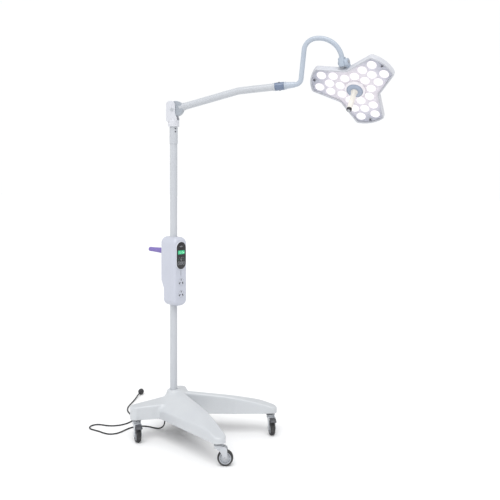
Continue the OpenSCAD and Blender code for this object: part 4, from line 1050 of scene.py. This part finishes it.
def halfShell(back):
    # Keeps the outline on one side of the split and closes it with a straight edge there
    split = boxShape["split"]
    keep = side[:, 0] < split if back else side[:, 0] > split
    start = int(np.argmax(keep & ~np.roll(keep, 1)))
    order = (start + np.arange(keep.sum())) % len(side)
    x = split + (-boxShape["gap"] if back else boxShape["gap"])
    low, high = boxShape["low"], boxShape["high"]
    rings = []
    for d, h in levels:
        loop = (side + sideNormals * d)[order]
        ends = [(x, low + d), (x, high - d)] if back else [(x, high - d), (x, low + d)]
        loop = rounded(np.concatenate([loop, ends]), d, h)
        rings.append(np.c_[loop, np.full(len(loop), h)])
    return solid(np.array(rings), atBox @ alongBackY)


addPiece("boxBack", [halfShell(True)], "stand", [boxWhite], ["box_back"], sharp=40)
frontParts = [halfShell(False)]
arch = roundRect(33.4, 66, 31, 14)
frontParts.append(plate(arch, edges(0, 1.9, 0, 1.5), atBox @ shift(58.4, 0, 930) @ frontward))
frontParts.append(block(-0.9, 0.9, -18, 18, 0, 0.7, atBox @ shift(58.9, 0, 836) @ frontward, 0.8, 0.3) + (1,))
ledge = roundRect(31.0, 64, 27, 14)
frontParts.append(plate(ledge, edges(0, 1.2, 0, 1.0), atBox @ shift(58.4, 0, 764) @ frontward))
addPiece("boxFront", frontParts, "stand", [boxWhite, slotDark], ["box_front"], sharp=40)
print("box shells done")

# control panel, display, buttons and outlets on the front of the box


def onFront(y, z):
    # Local X runs to the right seen from ahead (+Y of the box), Y runs up and Z out of the front
    return atBox @ shift(boxShape["front"], y, z) @ frontward


panelSize = {"halfW": 31.0, "halfH": 71.0, "z": 931, "displayZ": 948, "buttonZ": 892, "markZ": 911}
oval = roundRect(panelSize["halfW"], panelSize["halfH"], panelSize["halfW"], 24)
panelParts = [plate(oval, edges(0.2, 3.3, 0, 1.2), onFront(0, panelSize["z"]))]
trimLine = soften([(-2.2, 0), (-2.2, 2.6), (-1.2, 3.8), (0.1, 3.9), (0.4, 3.0), (0.4, 0)], 0.5, True, 4)
ovalIn = inward(oval)
panelParts.append(solid(np.array([np.c_[oval + ovalIn * d, np.full(len(oval), z)] for d, z in trimLine]),
                        onFront(0, panelSize["z"]), True) + (1,))


def stroke(points, width, m, z0=3.25, z1=3.55):
    # Flat printed line along points given in the panel's plane
    p = np.array(points, float)
    d = np.gradient(p, axis=0)
    d /= np.linalg.norm(d, axis=1)[:, None]
    n = np.c_[-d[:, 1], d[:, 0]] * width / 2
    rings = np.stack([np.c_[p + n, np.full(len(p), z1)], np.c_[p - n, np.full(len(p), z1)],
                      np.c_[p - n, np.full(len(p), z0)], np.c_[p + n, np.full(len(p), z0)]], 1)
    return solid(rings, m)


t = np.linspace(0, 2 * math.pi, 28)
for y in (-16, 0, 16):
    panelParts.append(stroke(np.c_[8.2 * np.cos(t), 8.2 * np.sin(t)], 0.7, onFront(y, panelSize["buttonZ"])) + (2,))
brow = np.linspace(0.2 * math.pi, 0.8 * math.pi, 14)
panelParts.append(stroke(np.c_[13 * np.cos(brow), 13 * np.sin(brow) * 0.5], 1.1, onFront(0, 974)) + (2,))
panelParts.append(stroke(np.c_[7 * np.cos(brow), 7 * np.sin(brow) * 0.5], 1.1, onFront(0, 973)) + (2,))
for y in (-11, 0, 11):
    panelParts.append(stroke([(-2.4, 0), (0, 0), (2.4, 0)], 1.0, onFront(y, 921)) + (2,))
panelParts.append(stroke(np.c_[3.2 * np.cos(t), 3.2 * np.sin(t)], 0.8, onFront(0, panelSize["markZ"])) + (2,))
for a in range(0, 360, 45):
    rayAt = onFront(0, panelSize["markZ"]) @ turn("Z", a)
    panelParts.append(stroke([(4.6, 0), (5.4, 0), (6.2, 0)], 0.7, rayAt) + (2,))
for y in (-20, 20):
    dotAt = onFront(y, panelSize["markZ"])
    panelParts.append(lathe([(0, 3.2), (1.3, 3.2), (1.1, 3.7), (0, 3.9)], dotAt, 20, 0.1) + (3,))
glowLook = Paint("displayGreen")
segments = glowLook.noise(60.0, 1.0)
glowLook.toShader(Base_Color=(0.01, 0.12, 0.06), Roughness=segments * 0.05 + 0.12, Coat_Weight=0.6,
                  Emission_Strength=1.0,
                  Emission_Color=glowLook.mix(segments.between(0.3, 0.7), (0.01, 0.34, 0.15), (0.02, 0.46, 0.2)))
paleLook = Paint("displayPale")
paleLook.toShader(Base_Color=(0.3, 0.6, 0.4), Emission_Strength=1.0, Roughness=paleLook.noise(80.0, 2.0) * 0.1 + 0.2,
                  Emission_Color=paleLook.mix(paleLook.noise(50.0, 1.0), (0.2, 0.72, 0.38), (0.26, 0.8, 0.45)))
addPiece("controlPanel", panelParts, "stand", [panelGloss, panelTrim, printGrey, glowLook.material], ["panel"],
         sharp=45)

screen = [plate(roundRect(21.8, 9.8, 1.6, 5), edges(-4.8, 3.6, 0, 0.5), onFront(0, panelSize["displayZ"]))]
for k, digit in enumerate(((1, 1, 1, 1, 1, 1, 0), (0, 1, 1, 0, 0, 0, 0), (1, 1, 1, 1, 0, 0, 1))):
    # Seven-bar figures
    bars = ((0, 5, 0), (2.6, 2.5, 90), (2.6, -2.5, 90), (0, -5, 0), (-2.6, -2.5, 90), (-2.6, 2.5, 90), (0, 0, 0))
    for on, (bx, by, tilt) in zip(digit, bars):
        if on:
            barAt = onFront(-9 + 8 * k, panelSize["displayZ"]) @ shift(bx, by, 0.45) @ turn("Z", tilt)
            screen.append(stroke([(-1.9, 0), (0, 0), (1.9, 0)], 0.9, barAt) + (1,))
for k in range(4):
    barAt = onFront(12.4 + 2.2 * k, panelSize["displayZ"] - 3.5 + k) @ shift(0, 0, 0.45)
    screen.append(stroke([(0, -1 - k), (0, 0), (0, 1 + k)], 1.1, barAt) + (1,))
addPiece("displayGlass", screen, "stand", [glowLook.material, paleLook.material], ["display"])

buttonShape = [(0, -8), (7.4, -8), (7.4, -4.6), (5.5, -4.4), (5.5, 2.6), (4.9, 3.5), (3.8, 3.2), (0, 2.9)]
for name, y, mark in (("power", -16, "ring"), ("up", 0, "up"), ("down", 16, "down")):
    at = onFront(y, panelSize["buttonZ"])
    parts = [lathe(buttonShape, at, 44, 0.5)]
    if mark == "ring":
        arcT = np.linspace(-0.75 * math.pi / 2 * 1.3, 1.5 * math.pi - 0.6, 24) + 0.3
        parts.append(stroke(np.c_[2.3 * np.cos(arcT - 0.9), 2.3 * np.sin(arcT - 0.9)], 0.7, at, 2.8, 3.35) + (1,))
        parts.append(stroke([(0, 0.3), (0, 1.8), (0, 3.2)], 0.7, at, 2.8, 3.4) + (1,))
    else:
        s = 1 if mark == "up" else -1
        parts.append(stroke([(-2.4, -1.1 * s), (0, 1.4 * s), (2.4, -1.1 * s)], 0.9, at, 2.8, 3.4) + (1,))
    addPiece("button_" + name + "_cap", parts, "key_" + name, [buttonWhite, slotDark], ["button_" + name])

outletParts = []
for z in (795, 733):
    at = onFront(0, z)
    outletParts.append(plate(roundRect(21.6, 21.6, 7, 7), edges(-11.6, 2.4, 0, 1.2), at))
    outletParts.append(stroke(np.c_[17.6 * np.cos(t), 17.6 * np.sin(t)], 0.5, at, 2.2, 2.55) + (1,))
    for s in (-1, 1):
        slotAt = at @ shift(s * 9.4, -6, 0) @ turn("Z", s * 30)
        outletParts.append(block(-2.9, 2.9, -5.6, 5.6, 2.1, 2.66, slotAt, 0.9, 0.1) + (1,))
    outletParts.append(block(-2.2, 2.2, 5.6, 15.4, 2.1, 2.66, at, 0.9, 0.1) + (1,))
addPiece("outletPlates", outletParts, "stand", [boxWhite, slotDark], ["outlets"])



def clampBand(half, m):
    # Chamfered band round the pole, half its height to each side
    band = [(19.05, -half), (24.2, -half), (25, 1 - half), (25, half - 1), (24.2, half), (19.05, half)]
    return lathe(band, m, 64, 0.4, True)


clampParts = []
for z in (700, 985):
    clampParts.append(clampBand(10, atBox @ shift(0, 0, z)))
    clampParts.append(block(-34, -22, -9.8, 9.8, z - 9.8, z + 9.8, atBox, 2, 1))
clampParts.append(clampBand(12, atPushRod))
clampParts.append(lathe([(0, -192.5), (7.2, -192.5), (7.95, -191.6), (7.95, -23), (0, -23)], atPushRod @ alongX, 48,
                        0.4))
addPiece("boxClamp", clampParts, "stand", [boltSteel], ["box_clamp"])
gripLine = [(8.06, -193), (8.06, -62), (16.4, -62), (16.6, -63), (16.3, -66), (15.4, -67.2), (15.4, -69), (16, -70)]
for k in range(7):
    # Shallow grooves, 12 apart, on a grip that narrows outwards
    r, z = 15.7 - 0.5 * k, -80 - 12 * k
    gripLine += [(r, z), (r - 0.7, z - 1.6), (r - 0.8, z - 3.4), (r - 0.3, z - 5)]
gripLine += [(11.7, -196), (11.2, -201), (9.4, -204.2), (6, -205), (0, -205), (0, -193)]
addPiece("pushGrip", [lathe(gripLine, atPushRod @ alongX, 64, 0.6)], "stand", [purpleGrip], ["push_grip"])

# Battery behind the pole, circuit board ahead of it with its parts
packParts = [block(-54, -27, -34, 34, 815, 935, atBox, 3, 1.2),
             block(26, 29, -34, 34, 690, 1005, atBox, 1.2, 0.4) + (1,),
             block(29, 44, -20, 20, 960, 1000, atBox, 2, 1) + (2,)]
for k in range(5):
    chip = (29, 33 + 2 * (k % 2), -26 + 9 * k, -20 + 9 * k, 860 - 12 * (k % 3), 872)
    packParts.append(block(*chip, atBox, 0.9, 0.4) + (2,))
addPiece("powerPack", packParts, "stand", [blackPlastic, packGreen, slotDark], ["power_pack"])
print("box details done")

# CAD parts that stay as they are, inside the covers


def paint(node, finish):
    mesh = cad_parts[node].data
    mesh.materials.clear()
    mesh.materials.append(finish)


paint("base_frame", frameSteel)
paint("ballast_plate", ironPaint)
paint("swivel_spindle", boltSteel)

# studio

floorMesh = bpy.data.meshes.new("floor")
floorMesh.from_pydata([(-30, -30, 0), (30, -30, 0), (30, 30, 0), (-30, 30, 0)], [], [(0, 1, 2, 3)])
floor = bpy.data.objects.new("floor", floorMesh)
bpy.context.scene.collection.objects.link(floor)
floorMesh.materials.append(surface("floorLook", (0.93, 0.93, 0.93), (0.91, 0.91, 0.915), 0.7))
world = bpy.data.worlds.new("studio")
bpy.context.scene.world = world
world.use_nodes = True
sky = world.node_tree.nodes["Background"]
sky.inputs[0].default_value = (0.985, 0.99, 1, 1)
seen = world.node_tree.nodes.new("ShaderNodeLightPath")
level = world.node_tree.nodes.new("ShaderNodeMapRange")
level.inputs["To Min"].default_value = 0.76
level.inputs["To Max"].default_value = 1.02
world.node_tree.links.new(seen.outputs["Is Camera Ray"], level.inputs["Value"])
world.node_tree.links.new(level.outputs[0], sky.inputs[1])
lamps = {"key": ((1.2, -2.4, 4.6), 1.85, 50), "fill": ((-3.2, -2.6, 2.0), 0.25, 40)}
for name, (place, strength, spread) in lamps.items():
    data = bpy.data.lights.new(name, "SUN")
    data.energy, data.angle = strength, math.radians(spread)
    lamp = bpy.data.objects.new(name, data)
    lamp.rotation_euler = (Vector((0, 0, 0.8)) - Vector(place)).to_track_quat("-Z", "Y").to_euler()
    bpy.context.scene.collection.objects.link(lamp)
bpy.context.scene.view_settings.view_transform = "Standard"
